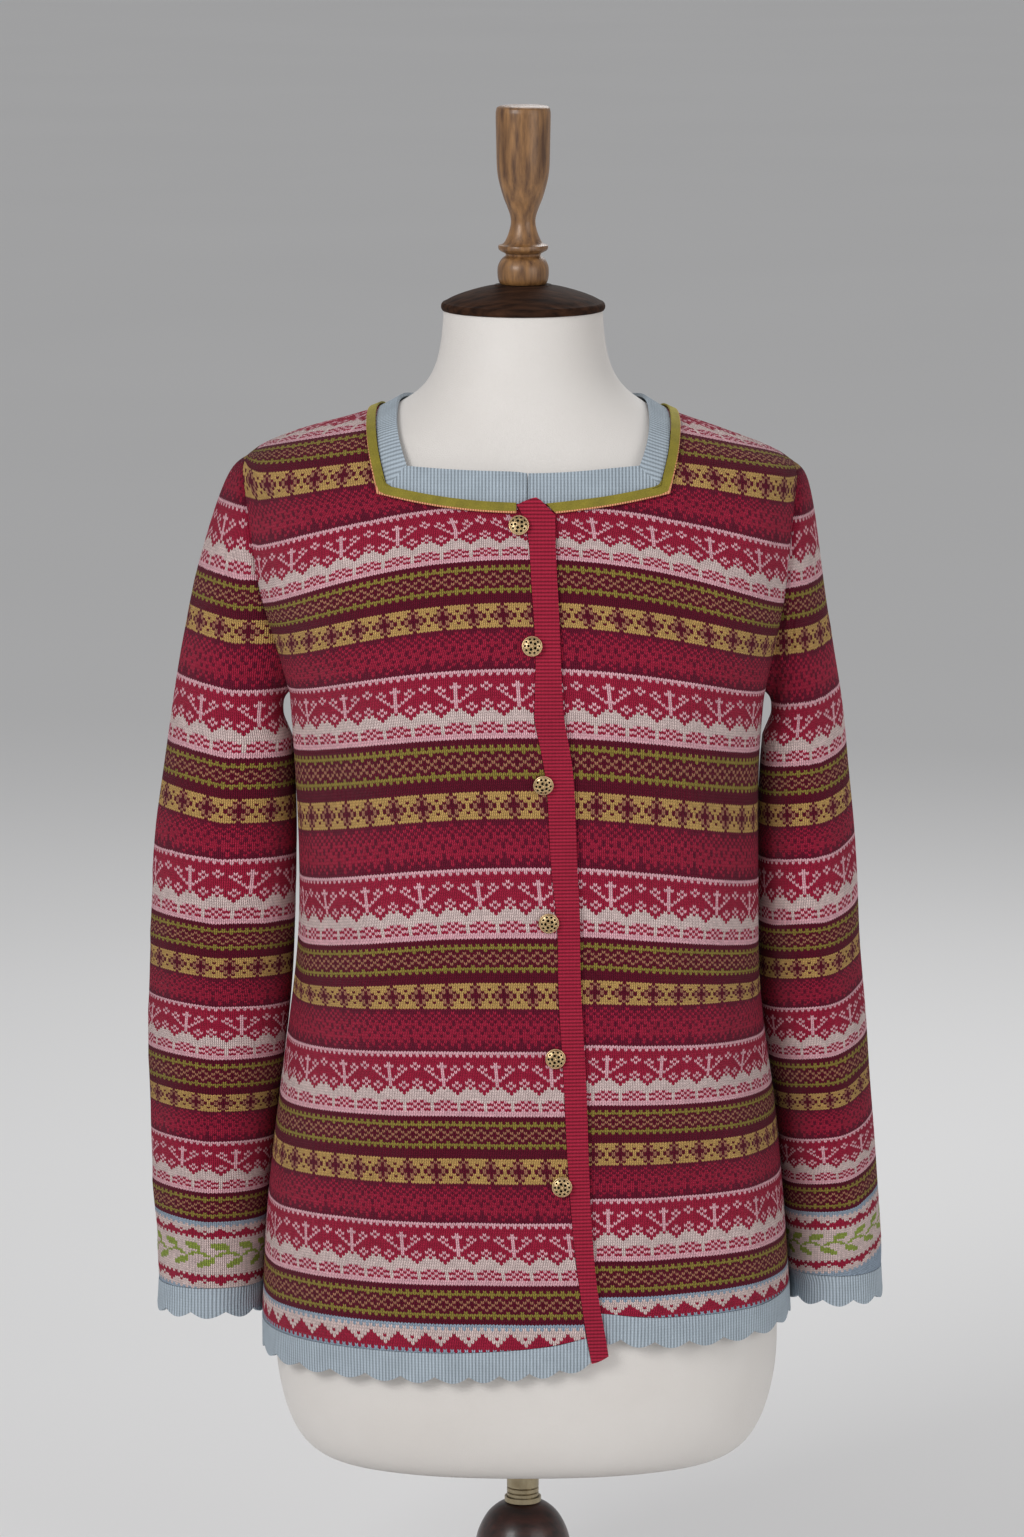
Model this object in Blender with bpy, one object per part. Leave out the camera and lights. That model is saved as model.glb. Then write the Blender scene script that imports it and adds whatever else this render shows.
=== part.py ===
"""A knitted cardigan on a limbless dress form that stands on a turned wooden foot.

Metres, +Z up. The origin is the centre of the foot's underside, on the floor.
The front faces -Y, and +X is the wearer's left, on the right of a front view.
The garment lies on one smooth surface: level sections, each given by a height
and an angle round the upright axis, 0 degrees at the middle of the front and
90 degrees at the side seam. Every cloth piece is a wall made from its points.
"""
import math

import bmesh
import bpy
import numpy as np
from mathutils import Vector

# Cloth thicknesses and gaps
WALL = 0.0020
BORDER_WALL = 0.0024
RIBBON_WALL = 0.0010
SEAM = 0.0003
LAP = 0.0026
FORM_DROP = 0.0030
RIBBON_LIFT = 0.0017
# Halvings of a search, and the heights between which a shoulder's height is looked for
HALVINGS = 40
SHOULDER_HEIGHTS = (0.80, 0.93)
NORMAL_STEP = 0.0015
NORMAL_TURN = 0.0100

# Sections of the worn cardigan, from the hem up to the neck.
# Columns: height, half width at -X, half width at +X, front depth, back depth, squareness
SECTIONS = np.array([
    (0.235, 0.1820, 0.1870, 0.1260, 0.1240, 2.40),
    (0.270, 0.1820, 0.1870, 0.1260, 0.1240, 2.40),
    (0.343, 0.1780, 0.1820, 0.1240, 0.1240, 2.40),
    (0.414, 0.1700, 0.1755, 0.1190, 0.1190, 2.35),
    (0.485, 0.1610, 0.1650, 0.1130, 0.1080, 2.30),
    (0.555, 0.1560, 0.1620, 0.1100, 0.0950, 2.30),
    (0.640, 0.1555, 0.1620, 0.1180, 0.0930, 2.30),
    (0.700, 0.1600, 0.1660, 0.1290, 0.0980, 2.35),
    (0.740, 0.1710, 0.1750, 0.1300, 0.1010, 2.40),
    (0.775, 0.1840, 0.1830, 0.1220, 0.1020, 2.40),
    (0.810, 0.1890, 0.1860, 0.1120, 0.0990, 2.40),
    (0.840, 0.1920, 0.1880, 0.1000, 0.0940, 2.40),
    (0.858, 0.1925, 0.1870, 0.0905, 0.0890, 2.35),
    (0.866, 0.1880, 0.1790, 0.0850, 0.0860, 2.30),
    (0.874, 0.1760, 0.1620, 0.0790, 0.0830, 2.20),
    (0.884, 0.1500, 0.1350, 0.0735, 0.0790, 2.15),
    (0.895, 0.1080, 0.1030, 0.0680, 0.0740, 2.10),
    (0.905, 0.0860, 0.0850, 0.0635, 0.0690, 2.00),
    (0.914, 0.0720, 0.0720, 0.0600, 0.0640, 2.00),
    (0.925, 0.0630, 0.0630, 0.0575, 0.0595, 2.00),
    (0.940, 0.0570, 0.0570, 0.0555, 0.0560, 2.00),
    (0.968, 0.0548, 0.0548, 0.0548, 0.0548, 2.00),
])

# Room between the cloth's outer face and the dress form.
# Columns: height, at the sides, at the front, at the back
FORM_ROOM = np.array([
    (0.150, 0.0070, 0.0090, 0.0075),
    (0.260, 0.0080, 0.0090, 0.0075),
    (0.340, 0.0065, 0.0085, 0.0065),
    (0.414, 0.0090, 0.0110, 0.0090),
    (0.500, 0.0180, 0.0170, 0.0130),
    (0.580, 0.0200, 0.0200, 0.0140),
    (0.660, 0.0120, 0.0130, 0.0090),
    (0.720, 0.0065, 0.0085, 0.0060),
    (0.775, 0.0060, 0.0075, 0.0055),
    (0.840, 0.0045, 0.0065, 0.0050),
    (0.866, 0.0016, 0.0055, 0.0055),
    (0.890, 0.0014, 0.0055, 0.0055),
    (0.910, 0.0020, 0.0030, 0.0030),
    (0.925, 0.0003, 0.0003, 0.0003),
    (0.968, 0.0003, 0.0003, 0.0003),
])

# Largest folds of the body.
# Columns: angle, height, lean in degrees of angle per metre, half width in degrees, half height, push out
BODY_FOLDS = [
    (-80.0, 0.655, 0.0, 7.0, 0.050, 0.0035),
    (-62.0, 0.640, 160.0, 8.0, 0.060, -0.0030),
    (-84.0, 0.520, -90.0, 8.0, 0.050, -0.0030),
    (-50.0, 0.530, 120.0, 9.0, 0.045, 0.0025),
    (-28.0, 0.420, -60.0, 9.0, 0.070, -0.0022),
    (-74.0, 0.380, 40.0, 9.0, 0.060, 0.0025),
    (64.0, 0.640, -150.0, 8.0, 0.060, -0.0030),
    (82.0, 0.560, 70.0, 8.0, 0.055, 0.0025),
    (46.0, 0.500, -110.0, 9.0, 0.050, 0.0025),
    (30.0, 0.400, 50.0, 9.0, 0.070, -0.0022),
    (76.0, 0.420, -60.0, 9.0, 0.060, -0.0022),
    (150.0, 0.560, 60.0, 11.0, 0.060, -0.0030),
    (-150.0, 0.540, -60.0, 11.0, 0.060, -0.0030),
    (180.0, 0.470, 0.0, 12.0, 0.050, 0.0025),
    (125.0, 0.420, -40.0, 10.0, 0.070, 0.0022),
    (-125.0, 0.430, 40.0, 10.0, 0.070, 0.0022),
]

# Hem heights along X. Columns: x, height of the scallops' tips
HEM_RIGHT = np.array([(-0.19, 0.2420), (-0.12, 0.2425), (-0.05, 0.2430), (0.00, 0.2460), (0.03, 0.2500),
                      (0.05, 0.2560)])
HEM_LEFT = np.array([(0.02, 0.2730), (0.057, 0.2698), (0.084, 0.2663), (0.13, 0.2645), (0.17, 0.2645),
                     (0.19, 0.2680)])
HEM_BACK = np.array([(-0.19, 0.2420), (-0.10, 0.2430), (0.0, 0.2500), (0.10, 0.2600), (0.19, 0.2680)])
BORDER_HEIGHT = 0.022
SCALLOP_PITCH = 0.025
SCALLOP_DEPTH = 0.005
COLUMNS_PER_SCALLOP = 4

# Armholes: an oval round the side line. The tips are where the shoulder seams end.
ARM_BOTTOM = 0.700
ARM_TIP = {-1: 0.8660, 1: 0.8620}
ARM_HALF_DEPTH = 0.036
LOW_ARM_STEPS = 7
HIGH_ARM_STEPS = 5
ARM_TURN = math.radians(144)

# Square neckline, at the rib's outer edge. Its front run sags between its corners.
NECK_CORNER_LEVEL = 0.8545
NECK_SAG = 0.0100
NECK_BACK_LEVEL = 0.8880
NECK_FRONT_X = 0.0915
NECK_BACK_X = 0.0900
NECK_SIDE_BULGE = 0.0085
NECK_BULGE_PLACE = 0.6
NECK_SPLIT_X = 0.0030
# How much of a strip's width shows as height at the front and the back, and across at the sides
FRONT_RISE = 0.85
BACK_RISE = 0.95
SIDE_SHARE = 0.80
RIB_EVENS_SAG = 0.6
RIB_WIDTH = 0.0165
RIB_LIFT = 0.0004
RIBBON_WIDTH = 0.0080
RIBBON_END_RIGHT = -0.0065
RIBBON_END_LEFT = 0.0152
RIBBON_END_SLANT = 0.85
MIN_STATION = 0.0050

# Front band, sewn to the right front's edge. Columns: height, left edge x, right edge x
BAND = np.array([
    (0.2560, 0.0470, 0.0590),
    (0.2700, 0.0442, 0.0571),
    (0.2910, 0.0407, 0.0538),
    (0.3180, 0.0372, 0.0483),
    (0.3450, 0.0338, 0.0469),
    (0.3730, 0.0319, 0.0449),
    (0.4000, 0.0296, 0.0446),
    (0.4270, 0.0285, 0.0434),
    (0.4540, 0.0276, 0.0426),
    (0.4815, 0.0257, 0.0410),
    (0.5090, 0.0235, 0.0387),
    (0.5430, 0.0228, 0.0386),
    (0.5640, 0.0240, 0.0384),
    (0.5920, 0.0190, 0.0372),
    (0.6190, 0.0173, 0.0350),
    (0.6470, 0.0172, 0.0353),
    (0.6605, 0.0165, 0.0350),
    (0.6875, 0.0096, 0.0305),
    (0.7010, 0.0074, 0.0275),
    (0.7285, 0.0078, 0.0255),
    (0.7550, 0.0088, 0.0245),
    (0.7810, 0.0058, 0.0238),
    (0.8070, 0.0044, 0.0218),
    (0.8323, 0.0031, 0.0213),
    (0.8417, -0.0039, 0.0215),
    (0.8505, -0.0043, 0.0225),
])
BAND_LIFT = 0.0005
BAND_WALL = 0.0022
# The band's pointed top and slanted foot. Columns: share of the width, height from the straight end
BAND_TOP_POINT = [(0.0, -0.0004), (0.5, -0.0002), (1.0, -0.0071)]
BAND_FOOT = [(0.0, 0.2577), (0.5, 0.2590), (1.0, 0.2626)]
UNDERLAP = 0.015
# How far from the right front's edge the left front begins to rise, and over how much it rises
LAP_START = 0.004
LAP_RUN = 0.030
BODY_HALF = 0.16
SIDE_SEAM_TURN = SEAM / 2 / BODY_HALF
OPENING_TURN = 0.9

# Buttons: height and x of each. They stand on a shank, so that their rims can pass over the band's edge.
BUTTON_PLACES = [(0.8300, -0.0030), (0.7521, 0.0058), (0.6578, 0.0134), (0.5610, 0.0172), (0.4680, 0.0217),
                 (0.3807, 0.0261)]
BUTTON_RADIUS = 0.0070
BUTTON_HEIGHT = 0.0052
BUTTON_LIFT = 0.0008
# Columns: share of the radius, share of the height
BUTTON_PROFILE = [(0.32, 0.0), (0.32, 0.30), (1.0, 0.34), (0.76, 0.78)]
BUTTON_SIDES = 12

# Grids
FRONT_COLUMNS = 12
NECK_COLUMNS = 5
LOW_ROWS = 12
SEAM_COLUMNS = FRONT_COLUMNS - NECK_COLUMNS
BACK_SIDE_COLUMNS = 3
BACK_NECK_COLUMNS = 6
BACK_COLUMNS = 2 * (SEAM_COLUMNS + BACK_SIDE_COLUMNS) + BACK_NECK_COLUMNS

# Sleeves, from the shoulder to the cuff, without the sign of x.
# Columns: outer x, outer height, inner x, inner height, middle y, half depth
SLEEVE_RINGS = {
    -1: [
        (0.1990, 0.8600, 0.1645, 0.6965, 0.000, 0.0365),
        (0.2080, 0.8400, 0.1650, 0.6880, 0.002, 0.0365),
        (0.2185, 0.8080, 0.1640, 0.6760, 0.004, 0.0360),
        (0.2285, 0.7700, 0.1625, 0.6600, 0.006, 0.0355),
        (0.2360, 0.7320, 0.1610, 0.6400, 0.008, 0.0350),
        (0.2430, 0.6900, 0.1600, 0.6150, 0.010, 0.0345),
        (0.2500, 0.6480, 0.1595, 0.5880, 0.012, 0.0340),
        (0.2550, 0.6080, 0.1600, 0.5620, 0.014, 0.0335),
        (0.2585, 0.5650, 0.1605, 0.5350, 0.016, 0.0330),
        (0.2610, 0.5200, 0.1625, 0.5030, 0.018, 0.0330),
        (0.2622, 0.4750, 0.1665, 0.4680, 0.020, 0.0330),
        (0.2620, 0.4300, 0.1720, 0.4280, 0.021, 0.0330),
        (0.2605, 0.3850, 0.1775, 0.3850, 0.021, 0.0335),
        (0.2585, 0.3400, 0.1825, 0.3400, 0.020, 0.0340),
        (0.2565, 0.3050, 0.1850, 0.3050, 0.019, 0.0345),
        (0.2555, 0.2835, 0.1855, 0.2835, 0.018, 0.0350),
    ],
    1: [
        (0.1935, 0.8560, 0.1705, 0.6965, 0.000, 0.0365),
        (0.1990, 0.8350, 0.1710, 0.6880, 0.003, 0.0380),
        (0.2035, 0.8030, 0.1705, 0.6760, 0.006, 0.0390),
        (0.2085, 0.7650, 0.1690, 0.6600, 0.009, 0.0400),
        (0.2150, 0.7280, 0.1675, 0.6400, 0.012, 0.0410),
        (0.2220, 0.6900, 0.1665, 0.6150, 0.015, 0.0420),
        (0.2265, 0.6480, 0.1660, 0.5880, 0.018, 0.0425),
        (0.2300, 0.6080, 0.1660, 0.5620, 0.020, 0.0430),
        (0.2330, 0.5650, 0.1660, 0.5350, 0.022, 0.0435),
        (0.2365, 0.5200, 0.1670, 0.5030, 0.024, 0.0435),
        (0.2395, 0.4750, 0.1705, 0.4680, 0.025, 0.0430),
        (0.2430, 0.4300, 0.1765, 0.4280, 0.025, 0.0425),
        (0.2465, 0.3850, 0.1815, 0.3850, 0.024, 0.0420),
        (0.2495, 0.3400, 0.1865, 0.3400, 0.022, 0.0415),
        (0.2520, 0.3100, 0.1890, 0.3100, 0.020, 0.0410),
        (0.2515, 0.2935, 0.1890, 0.2935, 0.019, 0.0410),
    ],
}
CUFF_HEIGHT = 0.0195
CUFF_SCALLOPS = 10
CUFF_FLARE = 0.0010
EVEN_BY_RING = 5
MITRE_FROM = 0.3

# Largest folds of the sleeves: turn from the outer side in degrees (+ to the front), height, half width
# in degrees, half height, push out
SLEEVE_FOLDS = [
    (20.0, 0.660, 45.0, 0.020, -0.0025),
    (60.0, 0.585, 45.0, 0.022, 0.0025),
    (10.0, 0.530, 50.0, 0.018, -0.0030),
    (-60.0, 0.490, 50.0, 0.022, 0.0025),
    (40.0, 0.440, 45.0, 0.020, -0.0020),
    (170.0, 0.560, 40.0, 0.030, -0.0030),
]

# Dress form
TORSO_SIDES = 32
NECK_TOP = 0.9648
TORSO_BASE = 0.1660
# Columns: height, how much of the section at the top of this table is left
TORSO_FOOT = [(0.1660, 0.780), (0.1700, 0.845), (0.1780, 0.900), (0.1920, 0.945), (0.2120, 0.980),
              (0.2350, 1.000)]
TORSO_LEVELS = [0.265, 0.300, 0.343, 0.414, 0.485, 0.555, 0.600, 0.640, 0.680, 0.720, 0.750, 0.780, 0.805,
                0.825, 0.840, 0.852, 0.860, 0.866, 0.872, 0.879, 0.886, 0.893, 0.900, 0.908, 0.917, 0.928,
                0.943, NECK_TOP]
SOCKET_RADIUS = 0.0085
SOCKET_TOP = 0.2300

# Turned pieces. Columns: radius, height
CAP_PROFILE = [(0.0440, 0.9651), (0.0552, 0.9653), (0.0558, 0.9680), (0.0552, 0.9708), (0.0500, 0.9735),
               (0.0400, 0.9770), (0.0280, 0.9802), (0.0190, 0.9822), (0.0185, 0.9826)]
FINIAL_PROFILE = [(0.0160, 0.9829), (0.0174, 0.9890), (0.0173, 0.9970), (0.0122, 1.0028), (0.0168, 1.0062),
                  (0.0168, 1.0088), (0.0110, 1.0150), (0.0083, 1.0250), (0.0108, 1.0350), (0.0150, 1.0470),
                  (0.0178, 1.0600), (0.0186, 1.0980), (0.0178, 1.1027), (0.0150, 1.1040)]
COLLAR_PROFILE = [(0.0120, 0.1505), (0.0132, 0.1512), (0.0136, 0.1550), (0.0136, 0.1657)]
HUB_PROFILE = [(0.0290, 0.0283), (0.0310, 0.0330), (0.0258, 0.0410), (0.0252, 0.0500), (0.0300, 0.0650),
               (0.0333, 0.0820), (0.0334, 0.0950), (0.0308, 0.1065), (0.0250, 0.1170), (0.0170, 0.1240),
               (0.0118, 0.1262)]
FOOT_PROFILE = [(0.1460, 0.0000), (0.1500, 0.0030), (0.1500, 0.0130), (0.1460, 0.0185), (0.1360, 0.0205),
                (0.0900, 0.0235), (0.0500, 0.0262), (0.0450, 0.0280)]
TUBE_RADIUS = 0.0112
TUBE_LOW = 0.1264
TUBE_TOP = 0.1502
TUBE_CHAMFER = 0.0007
GROOVE_LEVELS = (0.1325, 0.1361)
GROOVE_DEPTH = 0.0006
ROD_RADIUS = 0.0080
ROD_TOP = 0.2250
ROD_BOTTOM = 0.0310
RUNNING_GAP = 0.0003
RING_RADIUS = 0.0128
RING_LOW = 0.1265
RING_HIGH = 0.1300
TURNED_SIDES = 24
SCREW_HEIGHT = 0.1445
SCREW_RADIUS = 0.0022
SCREW_LENGTH = 0.0045
SCREW_TAPER = 0.8

# Materials. Columns: colour, roughness, metallic
FINISHES = {
    "knit": ((0.34, 0.035, 0.075), 0.90, 0.0),
    "border": ((0.33, 0.42, 0.50), 0.90, 0.0),
    "band": ((0.36, 0.03, 0.07), 0.90, 0.0),
    "ribbon": ((0.20, 0.18, 0.02), 0.75, 0.0),
    "button": ((0.55, 0.38, 0.14), 0.35, 1.0),
    "form": ((0.80, 0.79, 0.76), 0.55, 0.0),
    "turned_wood": ((0.13, 0.05, 0.02), 0.25, 0.0),
    "dark_wood": ((0.02, 0.006, 0.005), 0.20, 0.0),
    "tube": ((0.33, 0.27, 0.18), 0.40, 1.0),
    "steel": ((0.55, 0.55, 0.54), 0.30, 1.0),
}


def clear_scene():
    for old in list(bpy.data.objects):
        bpy.data.objects.remove(old, do_unlink=True)


def material(name):
    made = bpy.data.materials.get(name)
    if made:
        return made
    colour, roughness, metallic = FINISHES[name]
    made = bpy.data.materials.new(name)
    made.use_nodes = True
    shader = made.node_tree.nodes["Principled BSDF"]
    shader.inputs["Base Color"].default_value = (*colour, 1.0)
    shader.inputs["Roughness"].default_value = roughness
    shader.inputs["Metallic"].default_value = metallic
    return made


def smooth_read(table, at):
    """Read every column of a table at one place along its first column, on a smooth curve."""
    keys = table[:, 0]
    at = min(max(at, keys[0]), keys[-1])
    i = int(np.clip(np.searchsorted(keys, at) - 1, 0, len(keys) - 2))
    span = keys[i + 1] - keys[i]
    t = (at - keys[i]) / span
    low = table[i, 1:]
    high = table[i + 1, 1:]
    before = table[max(i - 1, 0)]
    after = table[min(i + 2, len(keys) - 1)]
    slope_low = (high - before[1:]) / (keys[i + 1] - before[0]) * span
    slope_high = (after[1:] - low) / (after[0] - keys[i]) * span
    return (low * (1 + 2 * t) * (1 - t) ** 2 + slope_low * t * (1 - t) ** 2
            + high * t * t * (3 - 2 * t) - slope_high * t * t * (1 - t))


def ease(t):
    t = min(max(t, 0.0), 1.0)
    return t * t * (3 - 2 * t)


def oval_radius(angle, half_left, half_right, front, back, power):
    """Distance from the axis to a superellipse, at an angle from the middle of the front."""
    side = half_right if math.sin(angle) >= 0 else half_left
    depth = front if math.cos(angle) >= 0 else back
    across = (abs(math.sin(angle)) / side) ** power
    along = (abs(math.cos(angle)) / depth) ** power
    return (across + along) ** (-1 / power)


def fold_push(height, angle):
    """How far the body's folds push its surface out."""
    degrees = math.degrees(angle)
    push = 0.0
    for middle, level, lean, half_width, half_height, depth in BODY_FOLDS:
        away = (degrees - middle - lean * (height - level) + 180) % 360 - 180
        push += depth * math.exp(-(away / half_width) ** 2 - ((height - level) / half_height) ** 2)
    return push


def cloth_point(height, angle, out=0.0):
    """A point of the cardigan's outer face."""
    reach = oval_radius(angle, *smooth_read(SECTIONS, height)) + fold_push(height, angle) + out
    return Vector((reach * math.sin(angle), -reach * math.cos(angle), height))


def cloth_normal(height, angle):
    along = cloth_point(height, angle + NORMAL_TURN) - cloth_point(height, angle - NORMAL_TURN)
    up = cloth_point(height + NORMAL_STEP, angle) - cloth_point(height - NORMAL_STEP, angle)
    return along.cross(up).normalized()


def raised_point(height, angle, lift):
    return cloth_point(height, angle) + cloth_normal(height, angle) * lift


def angle_at_x(height, x, back=False):
    """The angle at which the section at this height has this x, on the front or the back."""
    low, high = (-math.pi / 2, math.pi / 2)
    for _ in range(HALVINGS):
        middle = (low + high) / 2
        turned = math.pi - middle if back else middle
        if cloth_point(height, turned).x < x:
            low = middle
        else:
            high = middle
    return math.pi - low if back else low


def height_at(x, y):
    """The height of the shoulder and neck surface over a point of the plan."""
    angle = math.atan2(x, -y)
    wanted = math.hypot(x, y)
    low, high = SHOULDER_HEIGHTS
    for _ in range(HALVINGS):
        middle = (low + high) / 2
        if oval_radius(angle, *smooth_read(SECTIONS, middle)) > wanted:
            low = middle
        else:
            high = middle
    return low


def armhole(side, turn, shrink=0.0):
    """Height and angle on an armhole's front half, by its turn from the underarm up."""
    half_height = (ARM_TIP[side] - ARM_BOTTOM) / 2
    height = ARM_BOTTOM + half_height - (half_height - shrink) * math.cos(turn)
    depth = (ARM_HALF_DEPTH - shrink) * math.sin(turn)
    half = cloth_point(height, side * math.pi / 2).x * side
    return height, side * math.atan2(half, depth)


def arm_turns():
    low = [ARM_TURN * k / LOW_ARM_STEPS for k in range(LOW_ARM_STEPS + 1)]
    high = [ARM_TURN + (math.pi - ARM_TURN) * k / HIGH_ARM_STEPS for k in range(1, HIGH_ARM_STEPS + 1)]
    return low, high


def neck_front(x, inward):
    """Height and angle on the neckline's front run, moved inward towards the neck. The run sags in the
    middle, and the rib evens part of that out towards its inner edge."""
    sag = NECK_SAG * (1 - (x / NECK_FRONT_X) ** 2)
    evened = 1 - RIB_EVENS_SAG * max(inward, 0.0) / RIB_WIDTH
    height = NECK_CORNER_LEVEL - sag * evened + inward * FRONT_RISE
    return height, angle_at_x(height, x)


def neck_corner(side, inward):
    """The x of the neckline's front corner, moved inward."""
    return side * (NECK_FRONT_X - inward * SIDE_SHARE)


def neck_back(x, inward):
    height = NECK_BACK_LEVEL + inward * BACK_RISE
    return height, angle_at_x(height, x, back=True)


def neck_side(side, t, inward):
    """Height and angle on the neckline's side run: t is 0 at the front corner, 1 over the shoulder seam
    and 2 at the back corner."""
    front_x = abs(neck_corner(side, inward))
    back_x = NECK_BACK_X - inward * SIDE_SHARE
    front_y = cloth_point(*neck_front(side * front_x, inward)).y
    back_y = cloth_point(*neck_back(side * back_x, inward)).y
    bulge = NECK_SIDE_BULGE * math.sin(math.pi * (t / 2) ** NECK_BULGE_PLACE)
    x = front_x + (back_x - front_x) * t / 2 + bulge
    y = front_y * (1 - t) if t < 1 else back_y * (t - 1)
    return height_at(side * x, y), math.atan2(side * x, -y)


def fill_four_edges(bottom, top, left, right):
    """Rows of (height, angle) pairs that fill four edges."""
    rows = []
    high = len(left) - 1
    wide = len(bottom) - 1
    for j in range(high + 1):
        v = j / high
        row = []
        for i in range(wide + 1):
            u = i / wide
            ruled = [bottom[i][k] * (1 - v) + top[i][k] * v + left[j][k] * (1 - u) + right[j][k] * u
                     for k in (0, 1)]
            corners = [bottom[0][k] * (1 - u) * (1 - v) + bottom[-1][k] * u * (1 - v)
                       + top[0][k] * (1 - u) * v + top[-1][k] * u * v for k in (0, 1)]
            row.append((ruled[0] - corners[0], ruled[1] - corners[1]))
        rows.append(row)
    return rows


def placed(rows, place):
    return [[place(*pair) for pair in row] for row in rows]


def finish_object(name, mesh, finish):
    mesh.materials.append(material(finish))
    mesh.shade_smooth()
    mesh.set_sharp_from_angle(angle=math.radians(50))
    made = bpy.data.objects.new(name, mesh)
    bpy.context.scene.collection.objects.link(made)
    return made


def wall(name, grid, finish, thickness=WALL, keep=None, closed=False, facings=None):
    """A cloth wall whose outer face has the grid's points, row by row upwards, seen from outside
    with its columns running to the right. keep says which cells are there. facings gives the outward
    direction at points that meet another piece, so that both walls stop on one plane."""
    rows = len(grid)
    columns = len(grid[0])
    cells = []
    for j in range(rows - 1):
        for i in range(columns if closed else columns - 1):
            if keep is None or keep(j, i):
                right = (i + 1) % columns
                cells.append(((j, i), (j, right), (j + 1, right), (j + 1, i)))
    normals = {}
    for cell in cells:
        a, b, c, d = (grid[j][i] for j, i in cell)
        facing = (c - a).cross(d - b)
        for key in cell:
            normals[key] = normals.get(key, Vector()) + facing
    for j, i in normals:
        if facings and facings[j] and facings[j][i]:
            normals[j, i] = facings[j][i]
    shape = bmesh.new()
    outer = {key: shape.verts.new(grid[key[0]][key[1]]) for key in normals}
    inner = {key: shape.verts.new(grid[key[0]][key[1]] - facing.normalized() * thickness)
             for key, facing in normals.items()}
    edges = {}
    for cell in cells:
        shape.faces.new([outer[key] for key in cell])
        shape.faces.new([inner[key] for key in reversed(cell)])
        for a, b in zip(cell, cell[1:] + cell[:1]):
            if (b, a) in edges:
                del edges[(b, a)]
            else:
                edges[(a, b)] = True
    for a, b in edges:
        shape.faces.new([outer[b], outer[a], inner[a], inner[b]])
    mesh = bpy.data.meshes.new(name)
    shape.to_mesh(mesh)
    shape.free()
    return finish_object(name, mesh, finish)


def turned(name, profile, finish, bore=None, sides=TURNED_SIDES):
    """A turned piece from an outer profile, listed upwards. bore is (radius, bottom height, top height)."""
    outline = [(0.0, profile[0][1])] + list(profile) + [(0.0, profile[-1][1])]
    if bore:
        radius, low, high = bore
        opens_below = low <= profile[0][1]
        opens_above = high >= profile[-1][1]
        outline = list(profile)
        if opens_above:
            outline.append((radius, profile[-1][1]))
        else:
            outline += [(0.0, profile[-1][1]), (0.0, high), (radius, high)]
        if opens_below:
            outline.append((radius, profile[0][1]))
        else:
            outline += [(radius, low), (0.0, low), (0.0, profile[0][1])]
    shape = bmesh.new()
    rings = []
    for reach, height in outline:
        if reach == 0.0:
            rings.append([shape.verts.new((0.0, 0.0, height))])
        else:
            rings.append([shape.verts.new((reach * math.cos(2 * math.pi * k / sides),
                                           reach * math.sin(2 * math.pi * k / sides), height))
                          for k in range(sides)])
    closed = outline[0][0] != 0.0
    pairs = list(zip(rings, rings[1:] + rings[:1])) if closed else list(zip(rings, rings[1:]))
    for low_ring, high_ring in pairs:
        for k in range(sides):
            nxt = (k + 1) % sides
            if len(low_ring) == 1 and len(high_ring) == 1:
                continue
            if len(low_ring) == 1:
                shape.faces.new([low_ring[0], high_ring[nxt], high_ring[k]])
            elif len(high_ring) == 1:
                shape.faces.new([low_ring[k], low_ring[nxt], high_ring[0]])
            else:
                shape.faces.new([low_ring[k], low_ring[nxt], high_ring[nxt], high_ring[k]])
    mesh = bpy.data.meshes.new(name)
    shape.to_mesh(mesh)
    shape.free()
    return finish_object(name, mesh, finish)


def band_edges(height):
    return smooth_read(BAND, height)


def hem_height(table, x):
    return float(smooth_read(table, x)[0])


def lap_drop(height, x):
    """How far the left front lies in under the right front and its band."""
    right_edge = band_edges(height)[1]
    return LAP * (1 - ease((x - right_edge - LAP_START) / LAP_RUN))


def left_front_point(height, angle):
    x = cloth_point(height, angle).x
    return raised_point(height, angle, -lap_drop(height, x))


def opening_angle(side, height):
    """The angle of a front's edge at the opening."""
    left_edge = band_edges(height)[0]
    if side < 0:
        return angle_at_x(height, left_edge - SEAM)
    return angle_at_x(height, left_edge - UNDERLAP)


def side_seam(side):
    """The angle of a front's side seam and shoulder seam."""
    return side * (math.pi / 2 - SIDE_SEAM_TURN)


def front_low_row(side, share):
    """A row of a front between the hem border and the underarm, by its share of that height."""
    hem = HEM_RIGHT if side < 0 else HEM_LEFT
    row = []
    for column in range(FRONT_COLUMNS + 1):
        height = ARM_BOTTOM
        angle = side
        for _ in range(4):
            low = hem_height(hem, cloth_point(height, angle).x) + BORDER_HEIGHT
            height = low + (ARM_BOTTOM - low) * share
            opening = opening_angle(side, height)
            angle = opening + (side_seam(side) - opening) * column / FRONT_COLUMNS
        row.append((height, angle))
    return row


def front_arm_row(side, turn):
    """A row of a front beside the armhole. Its columns draw together towards the neckline's corner."""
    height, edge = armhole(side, turn)
    edge = edge if turn else side_seam(side)
    opening = opening_angle(side, height)
    neck_angle = neck_front(neck_corner(side, -SEAM), -SEAM)[1]
    pull = ease((height - ARM_BOTTOM) / (NECK_CORNER_LEVEL - ARM_BOTTOM))
    row = []
    for column in range(FRONT_COLUMNS + 1):
        even = opening + (edge - opening) * column / FRONT_COLUMNS
        if column <= NECK_COLUMNS:
            drawn = opening + (neck_angle - opening) * column / NECK_COLUMNS
        else:
            drawn = neck_angle + (edge - neck_angle) * (column - NECK_COLUMNS) / SEAM_COLUMNS
        row.append((height, even + (drawn - even) * pull))
    return row


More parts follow.
